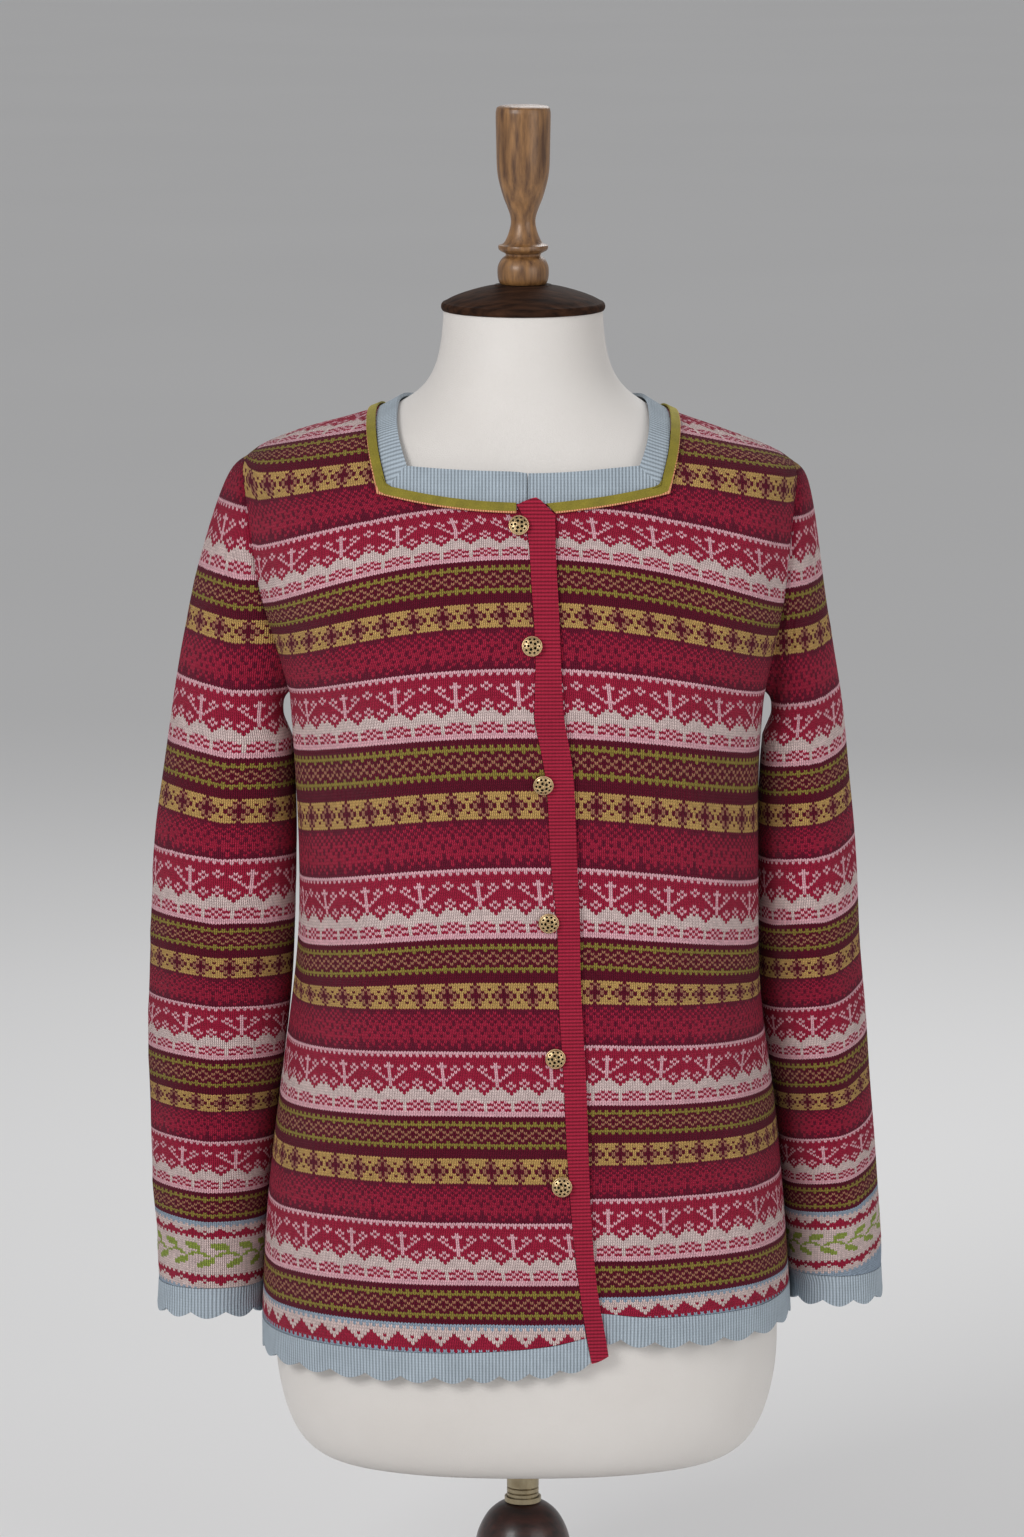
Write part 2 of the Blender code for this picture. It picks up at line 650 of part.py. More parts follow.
def neck_opening_x(side):
    """The x at which a front's edge at the opening meets the neckline."""
    level = NECK_CORNER_LEVEL - NECK_SAG
    return cloth_point(level, opening_angle(side, level)).x


def front_neck_row(side):
    """The row of a front that ends at the neckline."""
    corner = neck_corner(side, -SEAM)
    neck_height, neck_angle = neck_front(corner, -SEAM)
    end_height, edge = armhole(side, ARM_TURN)
    opening = neck_opening_x(side)
    row = [neck_front(opening + (corner - opening) * k / NECK_COLUMNS, -SEAM) for k in range(NECK_COLUMNS)]
    for k in range(SEAM_COLUMNS + 1):
        share = k / SEAM_COLUMNS
        height = neck_height + (end_height - neck_height) * share
        row.append((height, neck_angle + (edge - neck_angle) * share))
    return row


def opening_heights():
    """The heights of the fronts' rows at the right front's opening edge, upwards from the border."""
    heights = [front_low_row(-1, k / LOW_ROWS)[0][0] for k in range(LOW_ROWS)]
    heights += [armhole(-1, turn)[0] for turn in arm_turns()[0][:-1]]
    return heights + [front_neck_row(-1)[0][0]]


def front_panel(side, name):
    """A front, from the opening edge to the side seam, the armhole, the shoulder seam and the neckline."""
    place = cloth_point if side < 0 else left_front_point
    low_turns, high_turns = arm_turns()
    half_seam = side_seam(side)
    rows = [front_low_row(side, k / LOW_ROWS) for k in range(LOW_ROWS)]
    rows += [front_arm_row(side, turn) for turn in low_turns[:-1]]
    rows.append(front_neck_row(side))
    top_level = rows[-1]
    inner = [top_level[NECK_COLUMNS]]
    inner += [neck_side(side, k / HIGH_ARM_STEPS, -SEAM) for k in range(1, HIGH_ARM_STEPS + 1)]
    outer = [top_level[-1]] + [armhole(side, turn) for turn in high_turns]
    inner[-1] = (inner[-1][0], half_seam)
    outer[-1] = (outer[-1][0], half_seam)
    seam = seam_line(inner[-1], outer[-1])
    upper = fill_four_edges(top_level[NECK_COLUMNS:], seam, inner, outer)
    for row in upper[1:]:
        rows.append([row[0]] * NECK_COLUMNS + row)
    if side < 0:
        rows = [row[::-1] for row in rows]
    full = LOW_ROWS + LOW_ARM_STEPS

    def keep(j, i):
        column = FRONT_COLUMNS - 1 - i if side < 0 else i
        return j < full or column >= NECK_COLUMNS

    return wall(name, placed(rows, place), "knit", keep=keep, facings=placed(rows, cloth_normal))


def seam_line(neck_end, tip_end):
    """The shoulder seam's (height, angle) pairs from the neck to the tip, even along x."""
    points = []
    start = cloth_point(*neck_end).x
    end = cloth_point(*tip_end).x
    for k in range(SEAM_COLUMNS + 1):
        x = start + (end - start) * k / SEAM_COLUMNS
        points.append((height_at(x, 0.0), neck_end[1]))
    points[0] = neck_end
    points[-1] = tip_end
    return points


def back_low_row(share):
    """A row of the back between the hem border and the underarm, by its share of that height."""
    row = []
    start = math.pi - side_seam(1)
    for column in range(BACK_COLUMNS + 1):
        height = ARM_BOTTOM
        angle = start + 2 * (math.pi - start) * column / BACK_COLUMNS
        for _ in range(4):
            low = hem_height(HEM_BACK, cloth_point(height, angle).x) + BORDER_HEIGHT
            height = low + (ARM_BOTTOM - low) * share
        row.append((height, angle))
    return row


def back_arm_row(turn):
    """A row of the back between the armholes."""
    left_height, angle = armhole(1, turn)
    left_angle = math.pi - angle if turn else math.pi - side_seam(1)
    right_height, angle = armhole(-1, turn)
    right_angle = math.pi - angle if turn else math.pi - side_seam(-1)
    left_corner = angle_at_x(left_height, NECK_BACK_X, back=True)
    right_corner = angle_at_x(right_height, -NECK_BACK_X, back=True)
    neck_start = SEAM_COLUMNS + BACK_SIDE_COLUMNS
    columns = [0, SEAM_COLUMNS, neck_start]
    columns += [BACK_COLUMNS - column for column in columns[::-1]]
    angles = [left_angle, (left_angle + left_corner) / 2, left_corner, right_corner,
              (right_corner + right_angle) / 2, right_angle]
    pull = ease((left_height - ARM_BOTTOM) / (NECK_CORNER_LEVEL - ARM_BOTTOM))
    row = []
    for column in range(BACK_COLUMNS + 1):
        share = column / BACK_COLUMNS
        even = left_angle + (right_angle - left_angle) * share
        drawn = float(np.interp(column, columns, angles))
        row.append((left_height + (right_height - left_height) * share, even + (drawn - even) * pull))
    return row


def back_panel():
    """The back, in one piece from side seam to side seam."""
    low_turns, high_turns = arm_turns()
    seam_angle = math.pi - side_seam(1)
    rows = [back_low_row(k / LOW_ROWS) for k in range(LOW_ROWS)]
    rows += [back_arm_row(turn) for turn in low_turns]
    right = [rows[-1][0]]
    left = [rows[-1][-1]]
    for turn in high_turns:
        height, front_angle = armhole(1, turn)
        right.append((height, math.pi - front_angle))
        height, front_angle = armhole(-1, turn)
        left.append((height, math.pi - front_angle))
    right[-1] = (right[-1][0], seam_angle)
    left[-1] = (left[-1][0], 2 * math.pi - seam_angle)
    top = []
    neck_end = neck_side(1, 1.0, -SEAM)
    top += seam_line((neck_end[0], seam_angle), right[-1])[::-1]
    top += [neck_side(1, 1 + k / BACK_SIDE_COLUMNS, -SEAM) for k in range(1, BACK_SIDE_COLUMNS + 1)]
    reach = NECK_BACK_X + SEAM
    for k in range(1, BACK_NECK_COLUMNS + 1):
        top.append(neck_back(reach - 2 * reach * k / BACK_NECK_COLUMNS, -SEAM))
    for k in range(BACK_SIDE_COLUMNS - 1, 0, -1):
        height, angle = neck_side(-1, 1 + k / BACK_SIDE_COLUMNS, -SEAM)
        top.append((height, 2 * math.pi + angle))
    neck_end = neck_side(-1, 1.0, -SEAM)
    top += seam_line((neck_end[0], 2 * math.pi - seam_angle), left[-1])
    rows += fill_four_edges(rows[-1], top, right, left)[1:]
    return wall("back", placed(rows, cloth_point), "knit", facings=placed(rows, cloth_normal))


def scallop(share):
    """Height above the tips of a scalloped edge, at a share of one scallop."""
    return SCALLOP_DEPTH * (1 - abs(math.sin(math.pi * share)))


def border(name, edge, place):
    """A blue border under a panel's lowest row, with a scalloped lower edge."""
    edge = sorted(edge, key=lambda pair: pair[1])
    angles = np.array([angle for _, angle in edge])
    heights = np.array([height for height, _ in edge])
    points = placed([edge], cloth_point)[0]
    length = sum((b - a).length for a, b in zip(points, points[1:]))
    columns = round(length / SCALLOP_PITCH) * COLUMNS_PER_SCALLOP
    lower = []
    upper = []
    for k in range(columns + 1):
        angle = angles[0] + (angles[-1] - angles[0]) * k / columns
        top = float(np.interp(angle, angles, heights)) - SEAM
        low = top + SEAM - BORDER_HEIGHT + scallop(k / COLUMNS_PER_SCALLOP)
        upper.append((top, angle))
        lower.append((low, angle + opening_shift(low, top, angle)))
    rows = [lower, upper]
    return wall(name, placed(rows, place), "border", thickness=BORDER_WALL,
                facings=placed(rows, cloth_normal))


def opening_shift(low, top, angle):
    """How far the fronts' opening edges lean between two heights, as an angle."""
    if math.cos(angle) < OPENING_TURN:
        return 0.0
    return opening_angle(-1, low) - opening_angle(-1, top)


def sleeve_push(turn, height):
    push = 0.0
    for middle, level, half_width, half_height, depth in SLEEVE_FOLDS:
        away = (math.degrees(turn) - middle + 180) % 360 - 180
        push += depth * math.exp(-(away / half_width) ** 2 - ((height - level) / half_height) ** 2)
    return push


def sleeve_ring(side, spec, turns, out=0.0):
    """A ring of a sleeve. Turns run from the outer side to the front, the inner side and the back."""
    outer_x, outer_z, inner_x, inner_z, middle_y, half_depth = spec
    middle = Vector((side * (outer_x + inner_x) / 2, middle_y, (outer_z + inner_z) / 2))
    reach = Vector((side * (outer_x - inner_x) / 2, 0.0, (outer_z - inner_z) / 2))
    points = []
    for turn in turns:
        height = middle.z + reach.z * math.cos(turn)
        push = sleeve_push(turn, height) + out
        away = reach * math.cos(turn) * (1 + push / reach.length)
        points.append(middle + away + Vector((0.0, -(half_depth + push) * math.sin(turn), 0.0)))
    return points


def sleeve(side, name):
    low_turns, high_turns = arm_turns()
    front = [math.pi - turn for turn in low_turns + high_turns][::-1]
    start_turns = front + [2 * math.pi - turn for turn in front[::-1][1:-1]]
    count = len(start_turns)
    first = []
    first_facings = []
    for turn in start_turns:
        height, angle = armhole(side, math.pi - turn if turn <= math.pi else turn - math.pi, SEAM)
        if turn > math.pi:
            angle = side * math.pi - angle
        first.append(cloth_point(height, angle))
        first_facings.append(cloth_normal(height, angle) if math.cos(turn) > MITRE_FROM else None)
    grid = [first]
    for k, spec in enumerate(SLEEVE_RINGS[side]):
        share = min(1.0, (k + 1) / EVEN_BY_RING)
        turns = [start_turns[i] * (1 - share) + 2 * math.pi * i / count * share for i in range(count)]
        grid.append(sleeve_ring(side, spec, turns))
    facings = [first_facings] + [None] * len(SLEEVE_RINGS[side])
    if side > 0:
        grid = [row[::-1] for row in grid]
        facings[0] = first_facings[::-1]
    return wall(name, grid[::-1], "knit", closed=True, facings=facings[::-1])


def cuff(side, name):
    """A scalloped blue border under a sleeve."""
    spec = SLEEVE_RINGS[side][-1]
    columns = CUFF_SCALLOPS * COLUMNS_PER_SCALLOP
    turns = [2 * math.pi * k / columns for k in range(columns)]
    top = [point - Vector((0.0, 0.0, SEAM)) for point in sleeve_ring(side, spec, turns)]
    low = []
    for k, point in enumerate(sleeve_ring(side, spec, turns, CUFF_FLARE)):
        lift = scallop(k / COLUMNS_PER_SCALLOP)
        low.append(point - Vector((0.0, 0.0, CUFF_HEIGHT + SCALLOP_DEPTH / 2 - lift)))
    grid = [low, top]
    if side > 0:
        grid = [row[::-1] for row in grid]
    return wall(name, grid, "border", thickness=BORDER_WALL, closed=True)


def neck_stations(inward, ends, slant):
    """(height, angle) pairs round the neckline, from the right front's end at the opening, over the
    right shoulder, behind the neck and back to the left front's end. They stand where the panels' own
    edge points stand. slant leans the left front's end along the band."""
    def front(side, end, lean):
        opening = neck_opening_x(side)
        panel_corner = neck_corner(side, -SEAM)
        corner = neck_corner(side, inward)
        run = [neck_front(end - lean * inward, inward)]
        for k in range(NECK_COLUMNS + 1):
            x = opening + (panel_corner - opening) * k / NECK_COLUMNS
            if side * (x - end) - lean * RIBBON_WIDTH > MIN_STATION:
                stretched = opening + (corner - opening) * k / NECK_COLUMNS
                run.append(neck_front(stretched, inward))
        return run

    run = front(-1, ends[0], 0.0)[:-1]
    steps = [k / HIGH_ARM_STEPS for k in range(HIGH_ARM_STEPS)]
    steps += [1 + k / BACK_SIDE_COLUMNS for k in range(BACK_SIDE_COLUMNS + 1)]
    run += [neck_side(-1, t, inward) for t in steps[:-1]]
    back = NECK_BACK_X - inward * SIDE_SHARE
    run += [neck_back(-back + 2 * back * k / BACK_NECK_COLUMNS, inward) for k in range(BACK_NECK_COLUMNS)]
    run += [neck_side(1, t, inward) for t in steps[::-1]]
    return run + front(1, ends[1], slant)[:-1][::-1]


def neck_strip(name, finish, reach, lift, thickness, ends, slant=0.0):
    """A strip on the neckline, made from the surface's points, moved out. reach gives its outer and
    inner line, and ends the x of its two ends at the opening."""
    near, far = reach
    rows = [neck_stations(inward, ends, slant)[::-1] for inward in (near, (near + far) / 2, far)]

    def place(height, angle):
        drop = 0.0
        if math.cos(angle) > 0 and math.sin(angle) > 0:
            drop = lap_drop(height, cloth_point(height, angle).x)
        return raised_point(height, angle, lift - drop)

    return wall(name, placed(rows, place), finish, thickness=thickness, facings=placed(rows, cloth_normal))


def front_band():
    """The band along the opening, knitted sideways, with a pointed top and a slanted foot."""
    heights = opening_heights()
    rows = [[(height, share) for share, height in BAND_FOOT]]
    rows += [[(height, share) for share in (0.0, 0.5, 1.0)] for height in heights[:-1]]
    rows.append([(heights[-1] + rise, share) for share, rise in BAND_TOP_POINT])
    pairs = []
    for row in rows:
        line = []
        for height, share in row:
            left, right = band_edges(height)
            line.append((height, angle_at_x(height, left + (right - left) * share)))
        pairs.append(line)
    grid = placed(pairs, lambda height, angle: raised_point(height, angle, BAND_LIFT))
    return wall("front_band", grid, "band", thickness=BAND_WALL, facings=placed(pairs, cloth_normal))


def button(number, height, x):
    """A domed button on a shank, on the right front beside the band."""
    angle = angle_at_x(height, x)
    facing = cloth_normal(height, angle)
    shape = bmesh.new()
    rings = []
    for share, rise in BUTTON_PROFILE:
        reach = BUTTON_RADIUS * share
        rings.append([shape.verts.new((reach * math.cos(2 * math.pi * k / BUTTON_SIDES),
                                       reach * math.sin(2 * math.pi * k / BUTTON_SIDES),
                                       BUTTON_HEIGHT * rise)) for k in range(BUTTON_SIDES)])
    top = shape.verts.new((0.0, 0.0, BUTTON_HEIGHT))
    shape.faces.new(rings[0][::-1])
    for k in range(BUTTON_SIDES):
        nxt = (k + 1) % BUTTON_SIDES
        for low_ring, high_ring in zip(rings, rings[1:]):
            shape.faces.new([low_ring[k], low_ring[nxt], high_ring[nxt], high_ring[k]])
        shape.faces.new([rings[-1][k], rings[-1][nxt], top])
    mesh = bpy.data.meshes.new(f"button_{number}")
    shape.to_mesh(mesh)
    shape.free()
    made = finish_object(f"button_{number}", mesh, "button")
    made.location = cloth_point(height, angle) + facing * BUTTON_LIFT
    made.rotation_euler = facing.to_track_quat("Z", "Y").to_euler()
    return made


def form_section(height, angle):
    """A point of the dress form: the garment's surface, let down and in by the room it is given."""
    half_left, half_right, front, back, power = smooth_read(SECTIONS, height + FORM_DROP)
    side_room, front_room, back_room = smooth_read(FORM_ROOM, height)
    reach = oval_radius(angle, half_left - side_room, half_right - side_room, front - front_room,
                        back - back_room, power)
    return Vector((reach * math.sin(angle), -reach * math.cos(angle), height))


def torso():
    """The limbless form: a closed skin with a blind socket for the rod in its underside."""
    heights = [level for level, _ in TORSO_FOOT]
    shares = [share for _, share in TORSO_FOOT]
    heights += TORSO_LEVELS
    shares += [1.0] * len(TORSO_LEVELS)
    shape = bmesh.new()
    rings = []
    for height, share in zip(heights, shares):
        ring = []
        for k in range(TORSO_SIDES):
            point = form_section(max(height, TORSO_FOOT[-1][0]), 2 * math.pi * k / TORSO_SIDES)
            ring.append(shape.verts.new((point.x * share, point.y * share, height)))
        rings.append(ring)
    for radius, height in ((SOCKET_RADIUS, TORSO_BASE), (SOCKET_RADIUS, SOCKET_TOP)):
        rings.insert(0, [shape.verts.new((radius * math.sin(2 * math.pi * k / TORSO_SIDES),
                                          -radius * math.cos(2 * math.pi * k / TORSO_SIDES), height))
                         for k in range(TORSO_SIDES)])
    for low_ring, high_ring in zip(rings, rings[1:]):
        for k in range(TORSO_SIDES):
            nxt = (k + 1) % TORSO_SIDES
            shape.faces.new([low_ring[k], low_ring[nxt], high_ring[nxt], high_ring[k]])
    shape.faces.new(rings[-1])
    shape.faces.new(rings[0][::-1])
    mesh = bpy.data.meshes.new("torso")
    shape.to_mesh(mesh)
    shape.free()
    return finish_object("torso", mesh, "form")


def tube_profile():
    """The metal tube's outer profile, with shallow turned rings under its top."""
    profile = [(TUBE_RADIUS - TUBE_CHAMFER, TUBE_LOW), (TUBE_RADIUS, TUBE_LOW + TUBE_CHAMFER)]
    for level in GROOVE_LEVELS:
        profile += [(TUBE_RADIUS, level), (TUBE_RADIUS - GROOVE_DEPTH, level + GROOVE_DEPTH),
                    (TUBE_RADIUS, level + 2 * GROOVE_DEPTH)]
    return profile + [(TUBE_RADIUS, TUBE_TOP)]


def set_screw():
    """The small screw at the tube's side that locks the rod."""
    shape = bmesh.new()
    bmesh.ops.create_cone(shape, cap_ends=True, segments=12, radius1=SCREW_RADIUS,
                          radius2=SCREW_RADIUS * SCREW_TAPER, depth=SCREW_LENGTH)
    mesh = bpy.data.meshes.new("set_screw")
    shape.to_mesh(mesh)
    shape.free()
    made = finish_object("set_screw", mesh, "steel")
    made.rotation_euler = (0.0, -math.pi / 2, 0.0)
    made.location = (-(TUBE_RADIUS + SEAM + SCREW_LENGTH / 2), 0.0, SCREW_HEIGHT)
    return made


def dress_form():
    torso()
    turned("neck_cap", CAP_PROFILE, "turned_wood", sides=32)
    turned("finial", FINIAL_PROFILE, "turned_wood")
    turned("collar", COLLAR_PROFILE, "form", bore=(ROD_RADIUS + RUNNING_GAP, 0.0, 1.0))


def stand():
    bore = ROD_RADIUS + RUNNING_GAP
    turned("foot", FOOT_PROFILE, "dark_wood", sides=40)
    turned("hub", HUB_PROFILE, "dark_wood", bore=(bore, ROD_BOTTOM - RUNNING_GAP, 1.0))
    turned("tube", tube_profile(), "tube", bore=(bore, 0.0, 1.0))
    turned("rod", [(ROD_RADIUS, ROD_BOTTOM), (ROD_RADIUS, ROD_TOP)], "steel")
    ring = [(RING_RADIUS, RING_LOW), (RING_RADIUS, RING_HIGH)]
    turned("ferrule", ring, "tube", bore=(TUBE_RADIUS + RUNNING_GAP, 0.0, 1.0))
    set_screw()


def cardigan():
    front_panel(-1, "right_front")
    front_panel(1, "left_front")
    back_panel()
    sleeve(-1, "right_sleeve")
    sleeve(1, "left_sleeve")
    cuff(-1, "right_cuff")
    cuff(1, "left_cuff")
    border("right_front_hem", front_low_row(-1, 0.0), cloth_point)
    border("left_front_hem", front_low_row(1, 0.0), left_front_point)
    border("back_hem", back_low_row(0.0), cloth_point)
    neck_strip("neck_rib", "border", (0.0, RIB_WIDTH), RIB_LIFT, BORDER_WALL,
               (NECK_SPLIT_X - SEAM, NECK_SPLIT_X + SEAM))
    neck_strip("neck_ribbon", "ribbon", (-RIBBON_WIDTH, -SEAM), RIBBON_LIFT + RIBBON_WALL, RIBBON_WALL,
               (RIBBON_END_RIGHT, RIBBON_END_LEFT), RIBBON_END_SLANT)
    front_band()
    for number, (height, x) in enumerate(BUTTON_PLACES, start=1):
        button(number, height, x)


def main():
    clear_scene()
    cardigan()
    dress_form()
    stand()


main()
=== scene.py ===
# %% [markdown]
# # A jacquard cardigan on its dress form
#
# The solids of this object are already packed. They give every piece its place and main shape. This lesson
# dresses them: it turns plain walls into knitted cloth, plain cylinders into varnished wood and brushed
# metal, and plain discs into openwork buttons.
#
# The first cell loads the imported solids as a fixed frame. The box round them is kept, to compare it with the
# finished model at the end.

# %% Load the frame
import math

import bpy
import numpy as np
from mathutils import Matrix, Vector
from mathutils.bvhtree import BVHTree


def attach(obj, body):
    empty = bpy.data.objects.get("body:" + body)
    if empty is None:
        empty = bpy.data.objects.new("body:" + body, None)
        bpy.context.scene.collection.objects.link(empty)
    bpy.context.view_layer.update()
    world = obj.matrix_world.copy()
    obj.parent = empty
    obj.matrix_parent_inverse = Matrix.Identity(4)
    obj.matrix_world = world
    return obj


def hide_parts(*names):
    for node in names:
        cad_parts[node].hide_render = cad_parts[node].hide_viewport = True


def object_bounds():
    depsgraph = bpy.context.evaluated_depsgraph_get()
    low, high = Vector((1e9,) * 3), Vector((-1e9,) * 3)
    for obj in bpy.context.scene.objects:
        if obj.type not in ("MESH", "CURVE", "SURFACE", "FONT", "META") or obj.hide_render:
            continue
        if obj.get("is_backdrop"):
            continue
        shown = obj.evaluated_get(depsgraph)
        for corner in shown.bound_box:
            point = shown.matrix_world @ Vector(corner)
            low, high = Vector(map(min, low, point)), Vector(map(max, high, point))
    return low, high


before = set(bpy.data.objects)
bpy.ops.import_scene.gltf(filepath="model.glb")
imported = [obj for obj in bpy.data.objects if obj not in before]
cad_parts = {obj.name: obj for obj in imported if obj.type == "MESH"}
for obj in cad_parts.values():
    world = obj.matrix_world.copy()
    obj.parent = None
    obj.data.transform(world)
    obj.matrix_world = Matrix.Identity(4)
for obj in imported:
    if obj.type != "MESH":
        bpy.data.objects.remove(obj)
cad_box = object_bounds()
print("solids:", len(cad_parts))

# %% [markdown]
# ## The camera
#
# A garment is photographed from far away with a long lens, so that it keeps its proportions. The lens is
# 155 mm on a 36 mm tall frame, about four and a half metres from the form, a little above its shoulders and
# tilted down. A camera could also be aimed with a constraint, but plain numbers stay the same in every run.

# %% Camera
CAMERA_PLACE = (-0.0076, -4.5, 1.409)
CAMERA_TILT = 9.6

bpy.ops.object.camera_add(location=CAMERA_PLACE, rotation=(math.radians(90 - CAMERA_TILT), 0, 0))
camera = bpy.context.object
camera.name = "camera"
camera.data.sensor_fit = "VERTICAL"
camera.data.sensor_height = 36
camera.data.lens = 155
bpy.context.scene.camera = camera

# %% [markdown]
# ## Light and floor
#
# Knitted wool shows its stitches only in light that comes a little from the side. One large soft lamp stands
# at the upper left, a weaker one fills the right, and a third lights the shoulders from behind. The floor is
# plain and pale, and is marked as a stage so that it isn't counted as part of the object. The view transform
# is the plain one, which shows each yarn's colour as it was mixed.

# %% Light and floor
def add_lamp(name, place, aim, size, watts):
    bpy.ops.object.light_add(type="AREA", location=place)
    lamp = bpy.context.object
    lamp.name = name
    lamp.data.size = size
    lamp.data.energy = watts
    lamp.rotation_euler = (Vector(aim) - Vector(place)).to_track_quat("-Z", "Y").to_euler()


bpy.context.scene.view_settings.view_transform = "Standard"
add_lamp("key lamp", (-1.9, -2.6, 2.3), (0, 0, 0.65), 1.3, 60)
add_lamp("fill lamp", (2.3, -2.4, 1.5), (0, 0, 0.60), 2.0, 28)
add_lamp("back lamp", (0.6, 2.4, 2.4), (0, 0, 0.80), 1.6, 26)

world = bpy.data.worlds.new("studio")
bpy.context.scene.world = world
world.use_nodes = True
background = world.node_tree.nodes["Background"]
background.inputs["Color"].default_value = (0.95, 0.95, 0.96, 1)
background.inputs["Strength"].default_value = 0.44

bpy.ops.mesh.primitive_plane_add(size=120, location=(0, 0, -0.0005))
floor = bpy.context.object
floor.name = "floor"
floor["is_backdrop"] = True

# %% [markdown]
# ## Small helpers for modelling
#
# Operators act on whatever is selected, so every step starts by choosing one object. A soft solid comes from
# the frame as loose triangles. A copy of it is merged and turned into quads, its sharp rims are creased, and
# a Subdivision Surface modifier then rounds the cloth between them. The copy keeps the form of its solid.

# %% Helpers for modelling
def only(piece):
    """Select one piece and nothing else."""
    bpy.ops.object.select_all(action="DESELECT")
    piece.select_set(True)
    bpy.context.view_layer.objects.active = piece


def smooth_by_angle(piece, degrees):
    only(piece)
    bpy.ops.object.shade_smooth_by_angle(angle=math.radians(degrees))


def read_points(piece):
    flat = np.zeros(len(piece.data.vertices) * 3)
    piece.data.vertices.foreach_get("co", flat)
    return flat.reshape(-1, 3)


def write_points(piece, points):
    piece.data.vertices.foreach_set("co", points.ravel())
    piece.data.update()


def rounded_copy(node, name, levels, rim_degrees=50):
    """A merged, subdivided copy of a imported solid, with its rims kept sharp."""
    piece = bpy.data.objects.new(name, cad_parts[node].data.copy())
    bpy.context.scene.collection.objects.link(piece)
    piece.data.materials.clear()
    only(piece)
    if piece.data.has_custom_normals:
        bpy.ops.mesh.customdata_custom_splitnormals_clear()
    bpy.ops.object.mode_set(mode="EDIT")
    bpy.ops.mesh.select_all(action="SELECT")
    bpy.ops.mesh.remove_doubles(threshold=0.00002)
    bpy.ops.mesh.tris_convert_to_quads(face_threshold=math.radians(35), shape_threshold=math.radians(60))
    bpy.ops.mesh.select_all(action="DESELECT")
    bpy.ops.mesh.select_mode(type="EDGE")
    bpy.ops.mesh.edges_select_sharp(sharpness=math.radians(rim_degrees))
    bpy.ops.transform.edge_crease(value=1)
    bpy.ops.object.mode_set(mode="OBJECT")
    if levels:
        rounding = piece.modifiers.new("rounding", "SUBSURF")
        rounding.levels = levels
        rounding.render_levels = levels
        bpy.ops.object.modifier_apply(modifier=rounding.name)
    smooth_by_angle(piece, 60)
    return piece


def wall_area(piece):
    """The cloth's area: half of a wall's skin, which has an outside and an inside."""
    return sum(face.area for face in piece.data.polygons) / 2


def pattern_layer(piece):
    """The piece's layer of pattern coordinates, new if it has none."""
    layers = piece.data.uv_layers
    layer = layers[0] if layers else layers.new()
    layer.name = "pattern"
    return layer


def set_uv(piece, u, v):
    """Write one pair of pattern coordinates for each point."""
    layer = pattern_layer(piece)
    corners = np.zeros(len(piece.data.loops), dtype=np.int32)
    piece.data.loops.foreach_get("vertex_index", corners)
    layer.data.foreach_set("uv", np.column_stack((u, v))[corners].ravel())


# %% [markdown]
# ## Where the stitches run
#
# A jacquard's pattern belongs to its stitches: it bends, sags and stretches with them. So each panel gets
# pattern coordinates counted in stitches across and in rows up. The rows of the body were laid down from a
# table of heights at the middle of the front. They droop towards the sides, because the bust lifts the
# middle, and the left front hangs a little higher than the right one.

# %% Rows of the body
MM = 0.001


def read(table, values, column=1, by=0):
    """Read one column of a table at values of another, with a straight line between its rows."""
    return np.interp(values, table[:, by], table[:, column])


# Columns: row, height at the middle, droop at the side, lift of the left front. Lengths are listed in mm.
ROWS = np.array([
    (-12, 238, 0, 23), (0, 264.8, 0, 22), (9, 284.7, 1, 18), (24, 311.8, 3, 16), (48, 354.8, 3, 16),
    (63, 381.7, 4, 12), (73, 398.9, 6, 10), (90, 427.7, 7, 7), (114, 471.9, 11, 4), (129, 501.3, 12, 3),
    (139, 518.9, 21, 2), (156, 549.5, 26, 1), (180, 598.3, 31, 0), (195, 633.1, 33, 0), (205, 652, 33, 0),
    (222, 689.4, 32, 0), (246, 736.8, 36, 0), (261, 764.5, 38, 0), (271, 780.1, 38, 0), (288, 808.2, 42, 0),
    (312, 841.2, 33, 0), (334, 883, 30, 0),
]) * (1, MM, MM, MM)
SHOULDER_START = 0.832
SHOULDER_SIZE = (0.190, 0.104, 2.4)
SHOULDER_STEP = 0.00195
DROOP_HALF = 0.18
DROOP_POWER = 2.2
# On the shoulder a way up and a way in both count as way along the cloth, the second from 12 mm up.
UP_SHARE, IN_SHARE, IN_FROM = 0.85, 0.70, 0.012
ROUNDS = 8


def body_rows(points, lift_share):
    """The row of each point of the body, from its height, its droop and the slope of the shoulder."""
    x, y, z = points.T
    side = np.clip(np.abs(x) / DROOP_HALF, 0, 1) ** DROOP_POWER
    half, depth, power = SHOULDER_SIZE
    face_y = depth * (1 - np.clip(np.abs(x) / half, 0, 1) ** power) ** (1 / power)
    above = np.clip(z - SHOULDER_START, 0, None)
    low = np.minimum(z, SHOULDER_START)
    row = read(ROWS, low, 0, by=1)
    # The droop depends on the row and the row on the droop, so a few rounds bring them together.
    for _ in range(ROUNDS):
        moved = read(ROWS, row, 2) * side - read(ROWS, row, 3) * lift_share
        row = read(ROWS, low + moved, 0, by=1)
    inward = np.clip(face_y - np.abs(y), 0, None)
    share = np.clip(above / IN_FROM, 0, 1)
    return row + (above * UP_SHARE + inward * IN_SHARE * share) / SHOULDER_STEP


# %% [markdown]
# The stitches across are counted along the cloth, from the edge of the opening. The body's level sections
# are ovals, so the way along one is added up in small steps once for a few heights, and read between them.
# A stitch is 2.3 to 2.7 mm wide, and widest where the bust stretches it.

